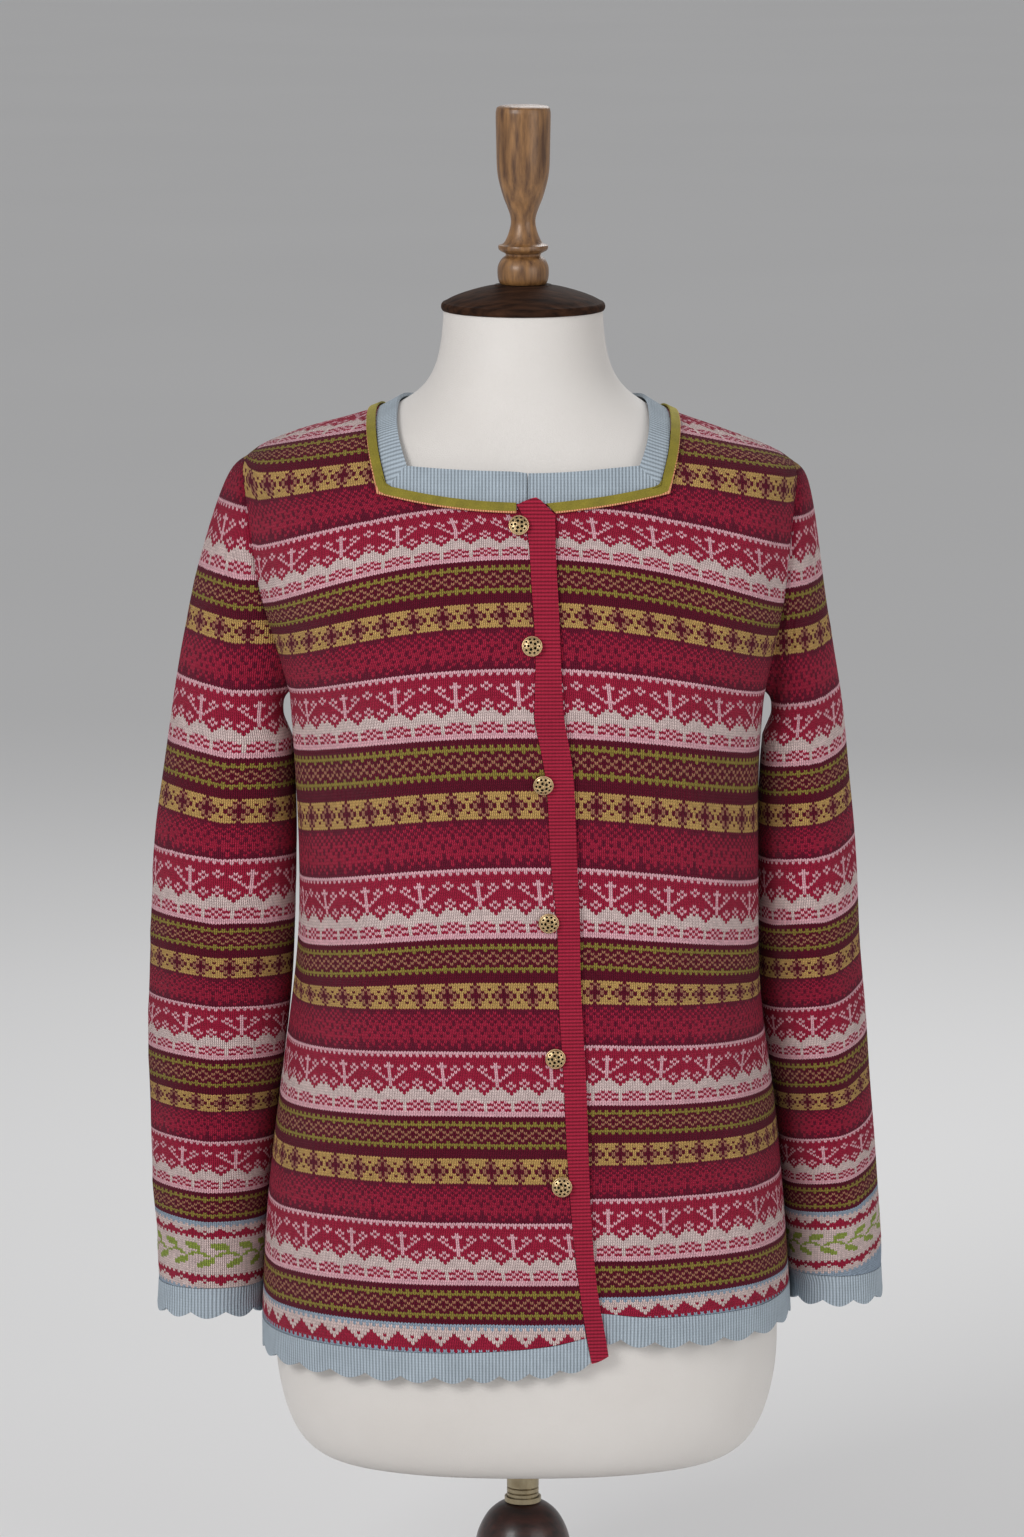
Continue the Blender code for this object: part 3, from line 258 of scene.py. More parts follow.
# %% Stitches of the body
# Columns: height, half width at -X, half width at +X, front depth, back depth
BODY_SIZES = np.array([
    (235, 182, 187, 126, 124), (343, 178, 182, 124, 124), (414, 170, 175.5, 119, 119), (485, 161, 165, 113, 108),
    (555, 156, 162, 110, 95), (640, 155.5, 162, 118, 93), (700, 160, 166, 129, 98), (740, 171, 175, 130, 101),
    (775, 184, 183, 122, 102), (810, 189, 186, 112, 99), (840, 192, 188, 100, 94), (866, 188, 179, 85, 86),
    (895, 108, 103, 68, 74),
]) * MM
# Columns: height, width of a stitch
STITCH_WIDTH = np.array([
    (260, 2.42), (330, 2.40), (450, 2.32), (580, 2.58), (700, 2.66), (830, 2.45), (900, 2.45),
]) * MM
# Columns: height, x of the front band's edge towards -X, x of its edge towards +X
BAND = np.array([
    (256, 45, 57), (330, 36, 47), (400, 30.4, 44), (470, 26.5, 41.5), (540, 22.8, 39), (580, 19.4, 36.3),
    (658, 13.9, 31.5), (700, 11.2, 28), (732.5, 8.5, 25.5), (752.7, 12.5, 27.5), (776.4, 8.2, 24), (827, 5.5, 20.5),
    (850.5, -4.5, 16.5),
]) * MM
# How far the first stitch lies from the band's edge, at a few heights. Columns: height, stitches
RIGHT_START = np.array([
    (310, 0.5), (450, 3.0), (580, 2.7), (700, 4.4), (830, 4.2),
]) * (MM, 1)
LEFT_START = np.array([
    (300, 4.4), (445, 6.2), (580, 9.0), (700, 11.5), (830, 10.5),
]) * (MM, 1)
ANGLES = np.linspace(-math.pi, math.pi, 361)
OVAL_POWER = 2.35


def oval(sizes, angles):
    left, right, front, back = sizes
    side = np.where(np.sin(angles) >= 0, right, left)
    depth = np.where(np.cos(angles) >= 0, front, back)
    shares = (np.abs(np.sin(angles)) / side) ** OVAL_POWER + (np.abs(np.cos(angles)) / depth) ** OVAL_POWER
    return shares ** (-1 / OVAL_POWER)


def ways_round():
    """For each height of the table, the way along the section from the middle of the front."""
    ways = []
    for sizes in BODY_SIZES[:, 1:]:
        reach = oval(sizes, ANGLES)
        steps = np.hypot(np.diff(reach * np.sin(ANGLES)), np.diff(reach * np.cos(ANGLES)))
        way = np.concatenate(([0], np.cumsum(steps)))
        ways.append(way - np.interp(0, ANGLES, way))
    return np.array(ways)


WAYS = ways_round()


def way_along(points):
    """How far round the body each point is, from the middle of the front, along the cloth."""
    x, y, z = points.T
    angle = np.arctan2(x, -y)
    rows = np.array([np.interp(angle, ANGLES, way) for way in WAYS])
    level = np.interp(z, BODY_SIZES[:, 0], np.arange(len(BODY_SIZES)))
    low = np.clip(level.astype(int), 0, len(BODY_SIZES) - 2)
    share = level - low
    index = np.arange(len(z))
    return rows[low, index] * (1 - share) + rows[low + 1, index] * share


def body_stitches(points, panel):
    """The stitch of each point of a body panel, counted from its edge at the opening."""
    z = points[:, 2]
    width = read(STITCH_WIDTH, z)
    way = way_along(points)
    if panel == "right":
        return (read(BAND, z) - way) / width - read(RIGHT_START, z)
    if panel == "left":
        return (way - read(BAND, z, 2)) / width - read(LEFT_START, z)
    middle_back = np.interp(z, BODY_SIZES[:, 0], (WAYS[:, -1] - WAYS[:, 0]) / 2)
    return np.where(way > 0, way - middle_back, way + middle_back) / width


# %% [markdown]
# A sleeve has its own count: rows down its length, stitches round it. It hangs as a slightly bent tube, so
# its middle line and its half sizes are listed for a few heights. On the wearer's left the arm's cloth is
# turned a little, and its bands rise towards the outside.

# %% Rows and stitches of the sleeves
# Columns: row, height on the wearer's right sleeve, height on the left one
SLEEVE_ROWS = np.array([
    (-34, 260, 276), (-23, 281.7, 295.9), (-16, 292.4, 304.4), (-1, 316, 324.4), (6, 326.8, 335.8), (10, 331, 339.4),
    (24, 350.3, 358.6), (48, 386.6, 390.5), (63, 407.9, 411.8), (77, 424.2, 426), (90, 444.8, 447.2),
    (114, 482.2, 483.9), (156, 540.7, 542.2), (180, 587.7, 589.2), (222, 658.3, 654), (246, 706.3, 697.8),
    (261, 739.6, 733.8), (288, 783.1, 778.7), (312, 832.8, 826.2), (334, 876, 870),
]) * (1, MM, MM)
# Columns: height, middle line x without its sign, middle line y, half width, half depth
SLEEVE_SIZES = {
    -1: np.array([
        (270, 220.5, 18, 35, 35), (350, 220, 20, 38.5, 34), (450, 215.5, 21, 46.5, 33), (600, 207.8, 14, 48, 33.5),
        (750, 197, 7, 36, 35.5), (860, 186, 1, 30, 36.5),
    ]) * MM,
    1: np.array([
        (280, 220, 19, 31, 41), (350, 217, 22, 32, 41.5), (450, 207, 25, 34, 42.8), (600, 198, 20, 32, 43),
        (750, 189.5, 10, 21.5, 40), (860, 183, 1, 20, 36.5),
    ]) * MM,
}
SLEEVE_STITCH = np.array([
    (300, 2.15), (400, 2.05), (500, 2.0), (620, 2.2), (720, 2.4), (850, 2.4),
]) * MM
SLEEVE_PHASE = {-1: 8.0, 1: 3.0}
# How much the bands lean, as a share of the way out from the middle line: above and below the elbow on the
# right sleeve, and all along the left one, where they curve up as well past the first 4 mm.
RIGHT_LEANS, ELBOW = (0.20, 0.12), 0.6
LEFT_LEAN, LEFT_CURVE, CURVE_FROM = 0.12, 11.0, 0.004


def sleeve_middle(points, side):
    return [read(SLEEVE_SIZES[side], points[:, 2], k) for k in (1, 2, 3, 4)]


def sleeve_rows(points, side):
    x, y, z = points.T
    middle, _, _, _ = sleeve_middle(points, side)
    out = side * x - middle
    if side < 0:
        lean = np.where(z > ELBOW, *RIGHT_LEANS) * np.clip(out, 0, None)
    else:
        lean = LEFT_LEAN * out + LEFT_CURVE * np.clip(out - CURVE_FROM, 0, None) ** 2
    return read(SLEEVE_ROWS, z - lean, 0, by=1 if side < 0 else 2)


def sleeve_stitches(points, side):
    x, y, z = points.T
    middle, middle_y, half, depth = sleeve_middle(points, side)
    turn = np.arctan2((side * x - middle) / half, -(y - middle_y) / depth)
    round_way = turn * np.sqrt((half ** 2 + depth ** 2) / 2)
    return round_way / read(SLEEVE_STITCH, z) + SLEEVE_PHASE[side]


# %% [markdown]
# ## Folds
#
# A garment on a form isn't as smooth as its pattern pieces. Cloth gathers where the arm leaves the body, at
# the waist and at the elbows. Each fold is a line in space with a width and a depth. A point near the line is
# pushed in or out, level, away from the upright axis of the body or the middle line of the sleeve. All pieces
# of the body are pushed by the same lines, so neighbours stay together at their seams.

# %% Folds
# Columns: start x, y, z, end x, y, z, half width, push out
BODY_FOLDS = np.array([
    (-176, -70, 742, -120, -105, 700, 9, -3.0), (-168, -60, 700, -118, -98, 672, 8, 2.0),
    (-160, -50, 672, -112, -92, 640, 9, -2.2), (-158, -40, 610, -110, -85, 590, 9, 1.6),
    (-158, -30, 560, -120, -78, 548, 10, -2.0), (-160, -30, 520, -105, -90, 500, 11, 1.6),
    (-166, -30, 470, -120, -88, 455, 12, -1.6), (-60, -110, 545, -20, -112, 500, 14, -1.4),
    (-90, -100, 450, -60, -118, 360, 16, 1.8), (-130, -95, 400, -120, -105, 300, 15, -1.8),
    (-40, -120, 420, -30, -124, 290, 15, -1.6), (-160, -60, 380, -165, -55, 290, 14, 1.6),
    (176, -66, 732, 126, -100, 696, 9, -3.0), (170, -58, 690, 124, -95, 664, 9, 2.0),
    (166, -46, 650, 118, -90, 628, 9, -2.2), (164, -38, 600, 120, -84, 580, 9, 1.6),
    (165, -34, 545, 120, -80, 530, 10, -2.2), (168, -36, 500, 116, -88, 480, 11, 1.8),
    (172, -40, 450, 120, -95, 438, 11, -1.8), (90, -105, 520, 70, -112, 440, 14, 1.5),
    (110, -105, 400, 115, -110, 300, 15, -1.8), (150, -75, 400, 156, -72, 290, 14, 1.8),
    (75, -118, 380, 80, -121, 280, 14, 1.4), (30, -115, 600, 80, -112, 575, 12, -1.2),
    (120, 80, 640, 40, 92, 600, 14, -2.0), (-120, 80, 640, -40, 92, 590, 14, -2.0),
    (90, 92, 540, -80, 95, 520, 16, 2.0), (130, 85, 500, 40, 105, 460, 16, -2.0),
    (-130, 85, 500, -40, 105, 450, 16, 1.8), (60, 118, 400, 70, 122, 280, 20, 2.2),
    (-60, 118, 400, -75, 122, 280, 20, 2.2), (0, 120, 380, 0, 124, 260, 22, -2.0),
    (150, 55, 740, 100, 92, 690, 12, -2.4), (-150, 55, 740, -100, 92, 690, 12, -2.4),
])
SLEEVE_FOLDS = {
    -1: np.array([
        (-250, -10, 655, -190, -25, 640, 9, -1.8), (-255, 0, 612, -185, -22, 575, 9, 1.8),
        (-262, 10, 560, -190, -20, 545, 8, -2.4), (-262, 10, 530, -195, -18, 500, 8, 1.8),
        (-262, 10, 490, -190, -15, 480, 9, -2.2), (-262, 10, 440, -190, -15, 450, 9, 1.6),
        (-262, 10, 410, -195, -15, 400, 9, -1.6), (-240, 0, 750, -190, -30, 720, 9, -1.6),
        (-230, 20, 790, -195, -30, 765, 9, 1.2), (-262, 20, 350, -200, -15, 345, 10, 1.4),
        (-262, 20, 318, -200, -15, 322, 8, -1.2),
    ]),
    1: np.array([
        (222, -10, 690, 175, -30, 660, 8, -1.6), (230, 0, 640, 175, -25, 610, 9, 1.6),
        (235, 0, 590, 175, -22, 580, 8, -2.0), (238, 0, 545, 180, -20, 520, 8, 1.8),
        (242, 5, 505, 180, -18, 490, 8, -2.2), (243, 5, 470, 180, -18, 455, 8, 1.8),
        (246, 5, 430, 185, -18, 425, 8, -2.0), (248, 5, 395, 185, -18, 385, 9, 1.6),
        (250, 5, 355, 190, -18, 355, 9, -1.4), (212, 0, 745, 180, -30, 725, 8, 1.2),
    ]),
}


FOLD_ENDS = (0.12, 0.88)
ARM_TOP, ARM_FADE = 0.80, 0.05


def fold_push(points, folds):
    """How far a set of folds pushes each point."""
    push = np.zeros(len(points))
    for fold in folds * MM:
        start, end, width, depth = fold[:3], fold[3:6], fold[6], fold[7]
        line = end - start
        share = np.clip((points - start) @ line / (line @ line), 0, 1)
        away = np.linalg.norm(points - start - share[:, None] * line, axis=1)
        push += depth * np.exp(-(away / width) ** 2) * np.sin(math.pi * np.clip(share, *FOLD_ENDS)) ** 0.5
    return push


def fold_body(points):
    """Body points moved by the body's folds, level and away from the upright axis."""
    away = points * (1, 1, 0)
    away /= np.linalg.norm(away, axis=1)[:, None]
    return points + away * fold_push(points, BODY_FOLDS)[:, None]


def fold_sleeve(points, side):
    middle, middle_y, _, _ = sleeve_middle(points, side)
    away = np.column_stack((points[:, 0] - side * middle, points[:, 1] - middle_y, np.zeros(len(points))))
    away /= np.linalg.norm(away, axis=1)[:, None]
    fade = np.clip((ARM_TOP - points[:, 2]) / ARM_FADE, 0, 1)
    return points + away * (fold_push(points, SLEEVE_FOLDS[side]) * fade)[:, None]


# %% [markdown]
# ## Helpers for materials
#
# Patterns are made from small sums on coordinates. In the shader editor each sum is a Math node. Here a field
# stands for a value that differs from place to place, and Python's own signs are taught to add a Math node when
# they meet a field, so that the sums below read like sums. A node group is built once and used by several
# materials.

# %% Fields and sums
class Field:
    """An output of a node, to calculate with."""

    def __init__(self, tree, socket):
        self.tree, self.socket = tree, socket


def feed(tree, socket, value):
    """Link a field to a socket, or set the socket to a constant."""
    if isinstance(value, Field):
        tree.links.new(value.socket, socket)
    else:
        socket.default_value = value


def calc(tree, operation, *values):
    """Add a Math node for an operation on fields and numbers."""
    node = tree.nodes.new("ShaderNodeMath")
    node.operation = operation
    for socket, value in zip(node.inputs, values):
        feed(tree, socket, value)
    return Field(tree, node.outputs[0])


def one_step(operation):
    """A function that adds one Math node to the tree of its first field."""
    return lambda field, *others: calc(field.tree, operation, field, *others)


for sign, operation in (("add", "ADD"), ("sub", "SUBTRACT"), ("mul", "MULTIPLY"), ("truediv", "DIVIDE"),
                        ("mod", "FLOORED_MODULO"), ("pow", "POWER"), ("lt", "LESS_THAN"), ("gt", "GREATER_THAN")):
    setattr(Field, f"__{sign}__", one_step(operation))
Field.__rsub__ = lambda field, number: calc(field.tree, "SUBTRACT", number, field)
absolute, whole, fraction, sine, larger = (
    one_step(name) for name in ("ABSOLUTE", "FLOOR", "FRACT", "SINE", "MAXIMUM"))


def choose(mask, first, second):
    """The first value where the mask is 1, the second where it is 0."""
    return second + (first - second) * mask


# %% Groups and nodes
def start_group(name, **inputs):
    """Start a shader node group. Returns its tree and its inputs as fields."""
    tree = bpy.data.node_groups.new(name, "ShaderNodeTree")
    for socket, kind in inputs.items():
        tree.interface.new_socket(socket, in_out="INPUT", socket_type="NodeSocket" + kind)
    given = tree.nodes.new("NodeGroupInput").outputs
    return tree, {socket: Field(tree, given[socket]) for socket in inputs}


def end_group(tree, **results):
    """Give a group its outputs: numbers, and a colour where the name is Color."""
    for name in results:
        kind = "NodeSocketColor" if name == "Color" else "NodeSocketFloat"
        tree.interface.new_socket(name, in_out="OUTPUT", socket_type=kind)
    end = tree.nodes.new("NodeGroupOutput")
    for name, value in results.items():
        feed(tree, end.inputs[name], value)


def place_group(tree, name, **values):
    """Place a group in a material or in another group. Returns its outputs as fields."""
    node = tree.nodes.new("ShaderNodeGroup")
    node.node_tree = bpy.data.node_groups[name]
    for socket, value in values.items():
        feed(tree, node.inputs[socket], value)
    return {socket.name: Field(tree, socket) for socket in node.outputs}


def split(tree, kind, value):
    """The three parts of a vector or a colour."""
    node = tree.nodes.new("ShaderNodeSeparate" + kind)
    feed(tree, node.inputs[0], value)
    return [Field(tree, socket) for socket in node.outputs]


def mix_colours(tree, factor, first, second, blend="MIX"):
    node = tree.nodes.new("ShaderNodeMix")
    node.data_type = "RGBA"
    node.blend_type = blend
    for place, value in ((0, factor), (6, first), (7, second)):
        feed(tree, node.inputs[place], value)
    return Field(tree, node.outputs[2])


def shade_colour(tree, plain, shade):
    """A colour made lighter or darker by a field."""
    grey = tree.nodes.new("ShaderNodeCombineColor")
    for socket in grey.inputs:
        feed(tree, socket, shade)
    return mix_colours(tree, 1.0, plain, Field(tree, grey.outputs[0]), "MULTIPLY")


def colour(*parts):
    """A colour of the screen, 0 to 255, as the linear colour a shader wants."""
    shares = [part / 255 for part in parts]
    return (*(c / 12.92 if c <= 0.04045 else ((c + 0.055) / 1.055) ** 2.4 for c in shares), 1)


def noise(tree, place, scale, detail=2.0):
    node = tree.nodes.new("ShaderNodeTexNoise")
    node.inputs["Scale"].default_value = scale
    node.inputs["Detail"].default_value = detail
    feed(tree, node.inputs["Vector"], place)
    return Field(tree, node.outputs["Fac"])


def stretch(tree, place, amount):
    node = tree.nodes.new("ShaderNodeVectorMath")
    node.operation = "MULTIPLY"
    feed(tree, node.inputs[0], place)
    feed(tree, node.inputs[1], amount)
    return Field(tree, node.outputs[0])


def pattern_uv(tree):
    node = tree.nodes.new("ShaderNodeUVMap")
    node.uv_map = "pattern"
    return Field(tree, node.outputs["UV"])


def object_place(tree):
    return Field(tree, tree.nodes.new("ShaderNodeTexCoord").outputs["Object"])


def start_material(name, roughness, metallic=0.0, sheen=0.0, coat=0.0, gloss=0.5):
    """A new material, its tree and its shader. The constants are set on the shader's own sockets."""
    made = bpy.data.materials.new(name)
    made.use_nodes = True
    shader = made.node_tree.nodes["Principled BSDF"]
    for socket, value in (("Roughness", roughness), ("Metallic", metallic), ("Sheen Weight", sheen),
                          ("Sheen Roughness", 0.4), ("Coat Weight", coat), ("Coat Roughness", 0.18),
                          ("Specular IOR Level", gloss)):
        shader.inputs[socket].default_value = value
    return made, made.node_tree, shader


def finish_material(tree, shader, base, height, distance):
    """Link the base colour, and a relief of the given height in metres."""
    feed(tree, shader.inputs["Base Color"], base)
    bump = tree.nodes.new("ShaderNodeBump")
    bump.inputs["Distance"].default_value = distance
    bump.inputs["Strength"].default_value = 1.0
    feed(tree, bump.inputs["Height"], height)
    tree.links.new(bump.outputs["Normal"], shader.inputs["Normal"])


# %% [markdown]
# ## One knitted stitch
#
# Every stitch of plain knitting is a V: two legs that lean outwards and up. The group takes pattern
# coordinates and gives the whole number of the stitch and of the row, with the row's edges bent into Vs, and
# a relief that is high along the legs and low between them. Modelling a hundred thousand stitches would be
# too heavy, and at this size the relief only has to catch the light. The wool's colour is also painted darker
# where the relief is low: painted shade between the legs.

# %% Stitch group
tree, given = start_group("Knitted stitch", Pattern="Vector")
x, y, _ = split(tree, "XYZ", given["Pattern"])
stitch = whole(x)
across = x - stitch
bent = y - absolute(across - 0.5)
row = whole(bent)
leg = sine(fraction(across * 2.0) * math.pi)
loop_end = sine((bent - row) * math.pi)
relief = larger(leg, 0.0) ** 0.7 * (larger(loop_end, 0.0) * 0.5 + 0.5)
spot = tree.nodes.new("ShaderNodeCombineXYZ")
feed(tree, spot.inputs["X"], stitch)
feed(tree, spot.inputs["Y"], row)
white = tree.nodes.new("ShaderNodeTexWhiteNoise")
white.noise_dimensions = "2D"
tree.links.new(spot.outputs[0], white.inputs["Vector"])
end_group(tree, Stitch=stitch, Row=row, Relief=relief, Tone=Field(tree, white.outputs["Value"]))

# %% [markdown]
# ## The jacquard charts
#
# A knitter reads a jacquard from a chart: one letter for each stitch, one line for each row. These are banded
# motifs in the northern tradition: small trees with tulips, a lattice, stars and plain heather bands. They
# repeat every 66 rows. Across, a chart turns back at its first and ninth stitch, so nine letters are enough
# for a repeat of sixteen.

# %% Charts
YARNS = {
    "c": colour(166, 32, 62), "m": colour(98, 14, 38), "p": colour(236, 180, 190), "w": colour(228, 204, 200),
    "g": colour(200, 160, 96), "l": colour(150, 132, 60), "d": colour(170, 118, 90), "k": colour(108, 18, 46),
    "b": colour(160, 176, 194), "v": colour(150, 166, 74),
}
LETTERS = "cmpwgldkbv"
BLUE, GREEN = LETTERS.index("b"), LETTERS.index("v")

TREES = """
ppppppppp
cpcpcpcpc
ccccccccc
ccccccccc
pcccccccp
ppccpccpc
pccpcpccp
pcccpcccc
pccpccccc
pcpcccccc
ppccccccp
pcccpccpc
pccpcpccp
cwccpccwc
wwwcccwww
wwwwcwwww
wwwwwwwww
wwwwwwwww
pcpwwwpcp
cpccwccpc
pcppwppcp
cpccwccpc
ppppppppp
ppppppppp
"""
HEATHER = """
kkkkkkkkk
kckkkckkk
ckckckckc
kckckckck
ckckckckc
kcccckccc
cckckcckc
kckccckck
ccckcccck
ckccckccc
cccccccck
ckckcckck
kckkckckk
kkckkkckk
kkkkkkkkk
"""
STARS = """
ggggmgggg
gggmdmggg
mggdmdggm
ggmdmdmgg
gmdmmmdmg
gmdmmmdmg
ggmdmdmgg
mggdmdggm
gggmdmggg
ggggmgggg
"""
PLAIN = ["mmmmmmmmm"]
LATTICE = """
lmlmlmlml
lllllllll
lmmmlmmml
mmdmmmdmm
mdmdmdmdm
dmmmdmmmd
mdmdmdmdm
mmdmmmdmm
lmmmlmmml
lllllllll
lmlmlmlml
mmmmmmmmm
"""
REPEAT = TREES.split() + PLAIN * 2 + LATTICE.split() + PLAIN * 3 + STARS.split() + HEATHER.split()
# The list runs down from row 47. Turned round, it is read upwards from row 48.
REPEAT = REPEAT[47::-1] + REPEAT[:47:-1]
print("rows in the repeat:", len(REPEAT))

# %% [markdown]
# The lowest rows of the body are a border of triangles. The sleeves end in two such borders with a garland
# of leaves between them. Each line here is one row, from the top down.

# %% Border charts
BODY_END = """
bbbbbbbbb
wbwbwbwbw
wwwwwwwww
wwwwcwwww
cwwcccwwc
wwcccccww
wcccccccw
ccccccccc
cbcbcbcbc
""".split()[::-1]
EDGE = """
wbwbwbwbw
wwwwwwwww
wwwwcwwww
cwwcccwwc
wcccccccw
ccccccccc
cwcwcwcwc
""".split()
SLEEVE_END = (["bbbbbbbbb"] * 2 + EDGE + ["wwwwwwwww"] * 16 + EDGE[::-1])[::-1]
print("rows at the body's end:", len(BODY_END), "at the sleeve's end:", len(SLEEVE_END))

# %% [markdown]
# A chart has to reach the shader without an image. A Color Ramp with constant steps can hold it: one step for
# each row. The nine letters of a row are written into two numbers, as the digits of a number with base
# sixteen, and go into the step's red and green. Math nodes then pick the digit of the stitch. A ramp holds
# at most 32 steps, so the 66 rows take three ramps.

# %% Chart lookup
BASE = 16
HALF_REPEAT = 8
IN_FIRST = 5
ROWS_IN_RAMP = 22


def pack_letters(letters):
    return sum(LETTERS.index(letter) / BASE ** (i + 1) for i, letter in enumerate(letters))


def constant_ramp(tree, colours, number):
    """A ramp with one step for each colour, read at a whole number."""
    ramp = tree.nodes.new("ShaderNodeValToRGB")
    ramp.color_ramp.interpolation = "CONSTANT"
    steps = ramp.color_ramp.elements
    while len(steps) < len(colours):
        steps.new(len(steps) / 64)
    for i, step_colour in enumerate(colours):
        steps[i].position = i / len(colours)
        steps[i].color = step_colour
    feed(tree, ramp.inputs["Fac"], (number + 0.5) / len(colours))
    return Field(tree, ramp.outputs["Color"])


def chart_ramp(tree, rows, row):
    """A chart's rows in a ramp, read at a row counted from the chart's first."""
    packed = [(pack_letters(letters[:IN_FIRST]), pack_letters(letters[IN_FIRST:]), 0, 1) for letters in rows]
    return constant_ramp(tree, packed, row)


def pick_letter(tree, packed, stitch):
    """The number of the yarn of a stitch, from a row's packed letters."""
    place = HALF_REPEAT - absolute(stitch % (2 * HALF_REPEAT) - HALF_REPEAT)
    in_second = place > IN_FIRST - 0.5
    red, green, _ = split(tree, "Color", packed)
    digit = place - in_second * IN_FIRST
    scaled = choose(in_second, green, red) * calc(tree, "POWER", BASE, digit + 1.0)
    return whole(scaled + 0.02) % BASE


tree, given = start_group("Jacquard repeat", Stitch="Float", Row="Float")
turn = given["Row"] % len(REPEAT)
packed = chart_ramp(tree, REPEAT[:ROWS_IN_RAMP], turn)
for first in (ROWS_IN_RAMP, 2 * ROWS_IN_RAMP):
    following = chart_ramp(tree, REPEAT[first:first + ROWS_IN_RAMP], turn - first)
    packed = mix_colours(tree, turn > first - 0.5, packed, following)
end_group(tree, Yarn=pick_letter(tree, packed, given["Stitch"]))

# %% [markdown]
# The garland's leaves are small leaning ovals, tested at whole stitches so that their edges step as knitting
# does. One row of leaves leans up and one down, on both sides of a wavy stem.

# %% Garland and border groups
LEAF_STEP = 8.0
LEAF_HALF = 2.9
LEAF_WIDE = 1.5
BORDER_TOP = 8.5
SLEEVE_FIRST = -23
STEM_ROW = -7.6


def leaf_row(stitch, row, shift, level, lean):
    """1 inside a row of leaning leaves, 0 outside."""
    x = (stitch + shift) % LEAF_STEP - LEAF_STEP / 2
    y = row - level
    along = x * math.cos(lean) + y * math.sin(lean)
    over = y * math.cos(lean) - x * math.sin(lean)
    return absolute(along / LEAF_HALF) ** 2.0 + absolute(over / LEAF_WIDE) ** 2.0 < 1.0


def end_yarn(tree, given, chart, first_row):
    """The yarn at the end of a piece: the border's chart, and the repeat above it."""
    inner = place_group(tree, "Jacquard repeat", **given)["Yarn"]
    border = pick_letter(tree, chart_ramp(tree, chart, given["Row"] - first_row), given["Stitch"])
    return choose(given["Row"] < BORDER_TOP, border, inner)


tree, given = start_group("Body end", Stitch="Float", Row="Float")
yarn = end_yarn(tree, given, BODY_END, 0)
end_group(tree, Yarn=choose(given["Row"] < -0.5, BLUE, yarn))

tree, given = start_group("Sleeve end", Stitch="Float", Row="Float")
stitch, row = given["Stitch"], given["Row"]
yarn = end_yarn(tree, given, SLEEVE_END, SLEEVE_FIRST)
upper = leaf_row(stitch, row, 0.0, -4.0, math.radians(10))
lower = leaf_row(stitch, row, LEAF_STEP / 2, -11.2, math.radians(-35))
stem = sine(stitch * (2 * math.pi / LEAF_STEP)) + STEM_ROW
leaves = larger(larger(upper, lower), absolute(row - stem) < 0.6)
yarn = choose(leaves, GREEN, yarn)
end_group(tree, Yarn=choose(row < SLEEVE_FIRST - 0.5, BLUE, yarn))

# %% [markdown]
# ## Wool
#
# The yarn's number picks a colour from a last ramp. Wool is never one flat colour: each stitch is a little
# lighter or darker than the next, and loose fibres blur the light. The furrows between stitches are painted
# darker from the stitch's relief: painted shade. The fibres are a fine noise in the relief and some sheen on the
# shader.

# %% Yarn colour group
FIBRE_SCALE = 2600.0

tree, given = start_group("Wool colour", Yarn="Float", Relief="Float", Tone="Float", Place="Vector")
plain = constant_ramp(tree, [YARNS[letter] for letter in LETTERS], given["Yarn"])
fibre = noise(tree, given["Place"], FIBRE_SCALE, 3.0)
patch = noise(tree, given["Place"], 26.0)
# Painted shade: the relief darkens the colour in the furrows between the legs. Tone, fibre and patch vary at random.
shade = (given["Relief"] * 0.75 + 0.44) * (given["Tone"] * 0.20 + 0.90) * (fibre * 0.30 + 0.85)
end_group(tree, Color=shade_colour(tree, plain, shade * (patch * 0.16 + 0.92)), Height=fibre * 0.25 + given["Relief"])


def start_wool(name):
    return start_material(name, roughness=0.92, sheen=0.04, gloss=0.15)


def knit_material(name, chart):
    made, tree, shader = start_wool(name)
    knit = place_group(tree, "Knitted stitch", Pattern=pattern_uv(tree))
    yarn = place_group(tree, chart, Stitch=knit["Stitch"], Row=knit["Row"])["Yarn"]
    wool = place_group(tree, "Wool colour", Yarn=yarn, Relief=knit["Relief"], Tone=knit["Tone"],
                       Place=object_place(tree))
    finish_material(tree, shader, wool["Color"], wool["Height"], 0.0010)
    return made


body_knit = knit_material("jacquard of the body", "Body end")
sleeve_knit = knit_material("jacquard of the sleeves", "Sleeve end")

# %% [markdown]
# ## Ribbed borders
#
# The hem, the cuffs and the neck are knitted in one colour as narrow ribs. The front band is knitted
# sideways, so its ribs lie across it. The pattern coordinates of these pieces are in millimetres, and the
# group makes rounded ribs of a given width, with the small steps of the stitches along them. The furrows
# between the ribs are painted darker, as shade, by a given depth of shade.

# %% Ribbed group and materials
tree, given = start_group("Ribbed wool", Pattern="Vector", Place="Vector", Rib="Float", Step="Float",
                          Furrow="Float", Wool="Color")
x, y, _ = split(tree, "XYZ", given["Pattern"])
rib = absolute(sine(x / given["Rib"] * math.pi))
step = absolute(sine(y / given["Step"] * math.pi))
relief = rib * 0.86 + step * 0.14
fibre = noise(tree, given["Place"], FIBRE_SCALE, 3.0)
patch = noise(tree, given["Place"], 60.0, 3.0)
# Painted shade: the colour is darkened in the furrows between the ribs, by the given depth of shade.
shade = (1.06 - (1.0 - relief) * given["Furrow"]) * (fibre * 0.26 + 0.87) * (patch * 0.30 + 0.85)
end_group(tree, Color=shade_colour(tree, given["Wool"], shade), Height=fibre * 0.25 + relief)


def ribbed_material(name, wool, rib, step, furrow_shade):
    made, tree, shader = start_wool(name)
    ribs = place_group(tree, "Ribbed wool", Pattern=pattern_uv(tree), Place=object_place(tree), Wool=wool,
                       Rib=rib, Step=step, Furrow=furrow_shade)
    finish_material(tree, shader, ribs["Color"], ribs["Height"], 0.0007)
    return made


